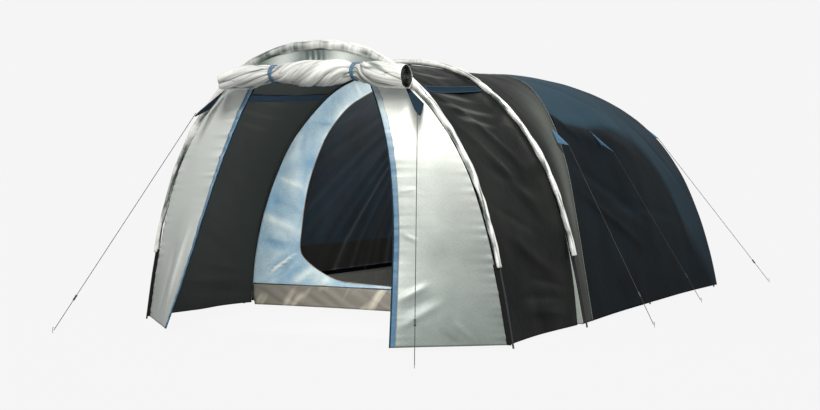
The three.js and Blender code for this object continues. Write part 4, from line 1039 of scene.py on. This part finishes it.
def coated_polythene(name, shade, lit):
    """Woven polythene tape with a film on it: ribs 6 mm wide, creased, with a soft plastic shine and painted
    highlights along the crease ridges.
    """
    material = new_material(name)
    place = node(material, "ShaderNodeTexCoord").outputs["Object"]
    diagonal = node(material, "ShaderNodeMapping", {"Vector": place, "Rotation": (0, 0.65, 0),
                                                    "Scale": (1, 1.6, 4.5)}, vector_type="TEXTURE")
    creases = node(material, "ShaderNodeTexNoise", {"Vector": diagonal.outputs[0], "Scale": 1 / 0.09,
                                                    "Detail": 1.5, "Distortion": 0.1})
    ribs = node(material, "ShaderNodeTexNoise", {"Vector": place, "Scale": 1 / 0.006, "Detail": 1.0})
    # Painted highlight: the colour is lighter along the tops of the creases.
    crease_highlight = node(material, "ShaderNodeMapRange", {"Value": creases.outputs["Fac"], "From Min": 0.55,
                                                   "From Max": 0.80})
    shown = node(material, "ShaderNodeMix", {"Factor": crease_highlight.outputs[0], 6: colour(shade), 7: colour(lit)},
                 data_type="RGBA")
    small = node(material, "ShaderNodeBump", {"Height": ribs.outputs["Fac"], "Strength": 0.3,
                                              "Distance": 0.001})
    relief = node(material, "ShaderNodeBump", {"Height": creases.outputs["Fac"], "Strength": 0.5,
                                               "Distance": 0.008, "Normal": small.outputs[0]})
    return finish_material(material, node(material, "ShaderNodeBsdfPrincipled", {
        "Base Color": shown.outputs[2], "Normal": relief.outputs[0], "Roughness": 0.55, "IOR": 1.5}))


taupe_polythene = coated_polythene("taupe_polythene", "77736A", "C8C1AF")
grey_polythene = coated_polythene("grey_polythene", "797974", "868680")
ground = cloth_piece("groundsheet_tray", grid, 0.0016, [taupe_polythene, grey_polythene], wraps=True)
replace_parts(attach(ground, "tent"), "groundsheet")


# ---------- sleeping cabin ----------
# Dark navy breathable nylon hung inside the flysheet from the poles, with long loose folds that fan out
# from its hanging points, and a near-black mud wall round the foot, which is tucked inside the groundsheet's
# wall.
CABIN_FOOT, CABIN_END = 0.155, 4.38
MUD_WALL_TOP = 0.45
cabin_nylon = breathable_nylon("dark_navy_nylon", "0C161D", "274050", 0.3)
mud_nylon = breathable_nylon("black_brown_nylon", "12110F", "1C1A17", 0.2)
shares = np.linspace(0.045, 0.955, 201)[None, :]
rows = np.linspace(0, 1, 110)[:, None]
grid = on_arch(shares, 1.31 + 3.07 * rows, 0.108)
hub = np.array([0, CABIN_END, grid[-1, 0, 2]])
cap = [grid[-1] + (hub - grid[-1]) * s for s in np.linspace(0, 0.995, 70)[1:]]
grid = np.vstack([grid, np.stack(cap)])
grid[..., 2] = np.maximum(grid[..., 2], CABIN_FOOT)
x, y, z = grid[..., 0], grid[..., 1], grid[..., 2]
round_walls = np.where(x < 0, y + x + 1.35, y - x + 1.35)
fan = np.arctan2(round_walls - 3.9, 2.15 - z)
folds = ripple(fan, z, (0.11, 3.0), 1.0, 71) + ripple(fan, z, (0.04, 2.0), 0.5, 72)
soft = np.hypot(folds, 0.25)
hang = np.clip((z - 0.17) / 0.3, 0, 1)
grid[..., 1] -= np.where(y > 4.3, 1, 0) * (soft * 0.03 + 0.01) * hang
side_walls = np.clip((4.3 - y) * 2, 0, 1) * np.clip((y - 1.31) * 4, 0, 1)
grid[..., 0] -= np.sign(x) * soft * 0.035 * side_walls * np.clip((1.7 - z) * 3, 0, 1)
tucked_in = np.interp(z, [CABIN_FOOT, MUD_WALL_TOP], [0.055, 0.0]) * side_walls
grid[..., 0] -= np.sign(x) * tucked_in
# Painted highlight: the fold ridges are painted lighter.
cabin = cloth_piece("sleeping_cabin", grid, CLOTH, [cabin_nylon], painted_light_and_tone=0.20 * np.clip(folds, 0, 1))
cabin.data.materials.append(mud_nylon)
for face in cabin.data.polygons:
    if face.center.z < MUD_WALL_TOP:
        face.material_index = 1
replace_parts(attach(cabin, "tent"), "inner_cabin")


# ---------- guy points ----------
# Each guy line pulls on a triangle of doubled webbing sewn to the flysheet: navy at the front hoop, light
# blue along the sides and at the back.
GUY_TABS = {
    "front": ((1.668, -0.029), (1.530, -0.029)),
    "side": ((1.418, 1.768), (1.305, 1.695)),
    "mid": ((1.415, 2.550), (1.300, 2.610)),
    "rear": ((1.500, 4.420), (1.400, 4.440)),
}
TIP_Y = {"front": -0.157, "side": 1.690, "mid": 2.665, "rear": 4.500}
TAB_OVER_LINE = 0.018
for guy, corners in GUY_TABS.items():
    for name, side in (("left", -1), ("right", 1)):
        inset = 0.034 if guy == "front" else SKIN_INSET - 0.006
        sewn = []
        for height, y in corners:
            point = on_arch(share_at(height, max(y, 0), inset), max(y, 0), inset)
            sewn.append(np.array([side * point[0], y, point[2]]))
        sewn = np.array(sewn)
        low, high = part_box(f"{guy}_{name}_line")
        tip = np.array([high[0] if side < 0 else low[0], TIP_Y[guy], high[2]])
        line_foot = np.array([low[0] if side < 0 else high[0], tip[1], low[2]])
        tip += (line_foot - tip) / np.linalg.norm(line_foot - tip) * TAB_OVER_LINE
        u = np.linspace(0, 1, 15)[None, :, None]
        v = np.linspace(0, 1, 21)[:, None, None]
        blunt = 0.30 if guy == "front" else 0.10
        edge = sewn[0] + (sewn[1] - sewn[0]) * u
        point = tip + (edge - sewn.mean(axis=0)) * blunt
        tab_grid = edge + (point - edge) * v**0.85
        tab_grid = tab_grid - (tip - sewn.mean(axis=0)) * 0.10 * (2 * u - 1) ** 2 * v**3
        bend = 0.006 * np.sin(math.pi * u[..., 0]) * np.sin(math.pi * v[..., 0])
        webbing_used = dark_webbing if guy == "front" else blue_webbing
        tab = cloth_piece(f"{guy}_{name}_guy_tab", press(tab_grid, bend), 0.002, [webbing_used])
        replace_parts(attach(tab, "tent"), f"{guy}_{name}_tab")


# ---------- zip pulls ----------
# A small moulded pull hangs from the slider at the top of each wing's zip, on the inside of the door.
PULL_RADII = (0.0014, 0.0024, 0.0030, 0.0028, 0.0026, 0.0028, 0.0032, 0.0036, 0.0040, 0.0044, 0.0046, 0.0046,
              0.0042, 0.003)
for name, side in (("left", -1), ("right", 1)):
    low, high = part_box(f"{name}_zip_pull")
    middle_x, middle_y = (low[0] + high[0]) / 2, (low[1] + high[1]) / 2
    drop = np.linspace(high[2] - 0.001, low[2] + 0.001, len(PULL_RADII))
    line = [(middle_x, middle_y, z) for z in drop]
    pull = swept_tube(f"{name}_zip_tongue", line, PULL_RADII, 16, runner_nylon)
    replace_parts(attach(pull, f"{name}_zip_pull"), f"{name}_zip_pull")


# ---------- floor, backdrop and light ----------
# A plain pale floor that glows as evenly as the backdrop, a white surround, a soft key light high on the
# right that makes the roofs shine, a softbox for the right wing, and a weak fill in the porch and the cabin.
floor_paint = new_material("pale_studio_floor")
seen = node(floor_paint, "ShaderNodeLightPath")
matt = node(floor_paint, "ShaderNodeBsdfDiffuse", {"Color": colour("E4E4E6")})
even = node(floor_paint, "ShaderNodeEmission", {"Color": colour("F5F5F5")})
pale = node(floor_paint, "ShaderNodeMixShader", {0: 0.985, 1: matt.outputs[0], 2: even.outputs[0]})
bounce = node(floor_paint, "ShaderNodeBsdfDiffuse", {"Color": colour("808080")})
finish_material(floor_paint, node(floor_paint, "ShaderNodeMixShader", {
    0: seen.outputs["Is Camera Ray"], 1: bounce.outputs[0], 2: pale.outputs[0]}))
FLOOR_HALF, FLOOR_TOP = 60, -0.001
floor_corners = [(FLOOR_HALF * x, FLOOR_HALF * y, FLOOR_TOP) for x, y in ((-1, -1), (1, -1), (1, 1), (-1, 1))]
floor = mesh_piece("studio_floor", floor_corners, [(0, 1, 2, 3)], floor_paint)
floor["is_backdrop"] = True
world = bpy.data.worlds.new("studio")
bpy.context.scene.world = world
world.use_nodes = True
surround = world.node_tree.nodes["Background"]
surround.inputs["Color"].default_value = colour("F5F5F5")
dimmer = world.node_tree.nodes.new("ShaderNodeMapRange")
seen = world.node_tree.nodes.new("ShaderNodeLightPath")
world.node_tree.links.new(seen.outputs["Is Camera Ray"], dimmer.inputs["Value"])
dimmer.inputs["To Min"].default_value = 0.45
world.node_tree.links.new(dimmer.outputs[0], surround.inputs["Strength"])


def studio_light(name, kind, place, aim, energy, shade, **settings):
    """A lamp at a place, aimed at a point."""
    lamp = bpy.data.objects.new(name, bpy.data.lights.new(name, kind))
    bpy.context.collection.objects.link(lamp)
    lamp.location = place
    lamp.rotation_euler = (Vector(place) - Vector(aim)).to_track_quat("Z", "Y").to_euler()
    lamp.data.energy = energy
    lamp.data.color = colour(shade)[:3]
    for key, value in settings.items():
        setattr(lamp.data, key, value)
    lamp.visible_camera = False
    return lamp


studio_light("key_light", "SUN", (4, -6, 8), (0, 0, 0), 3.3, "FFFEFA", angle=math.radians(16))
studio_light("wing_softbox", "AREA", (1.7, front_y - 1.7, 2.7), (0.8, front_y, 1.50), 30, "FFFEF2", size=0.9)
studio_light("porch_fill", "AREA", (0.2, front_y - 0.1, 0.85), (-0.15, front_y + 2, 0.7), 42, "FFFFFF",
             shape="RECTANGLE", size=1.1, size_y=1.2)
studio_light("cabin_fill", "POINT", (0, front_y + 2.6, 1.1), (0, 0, 0), 16, "FFFFFF", shadow_soft_size=0.4)
bpy.context.scene.view_settings.view_transform = "Standard"

# ---------- sizes ----------
low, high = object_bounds()
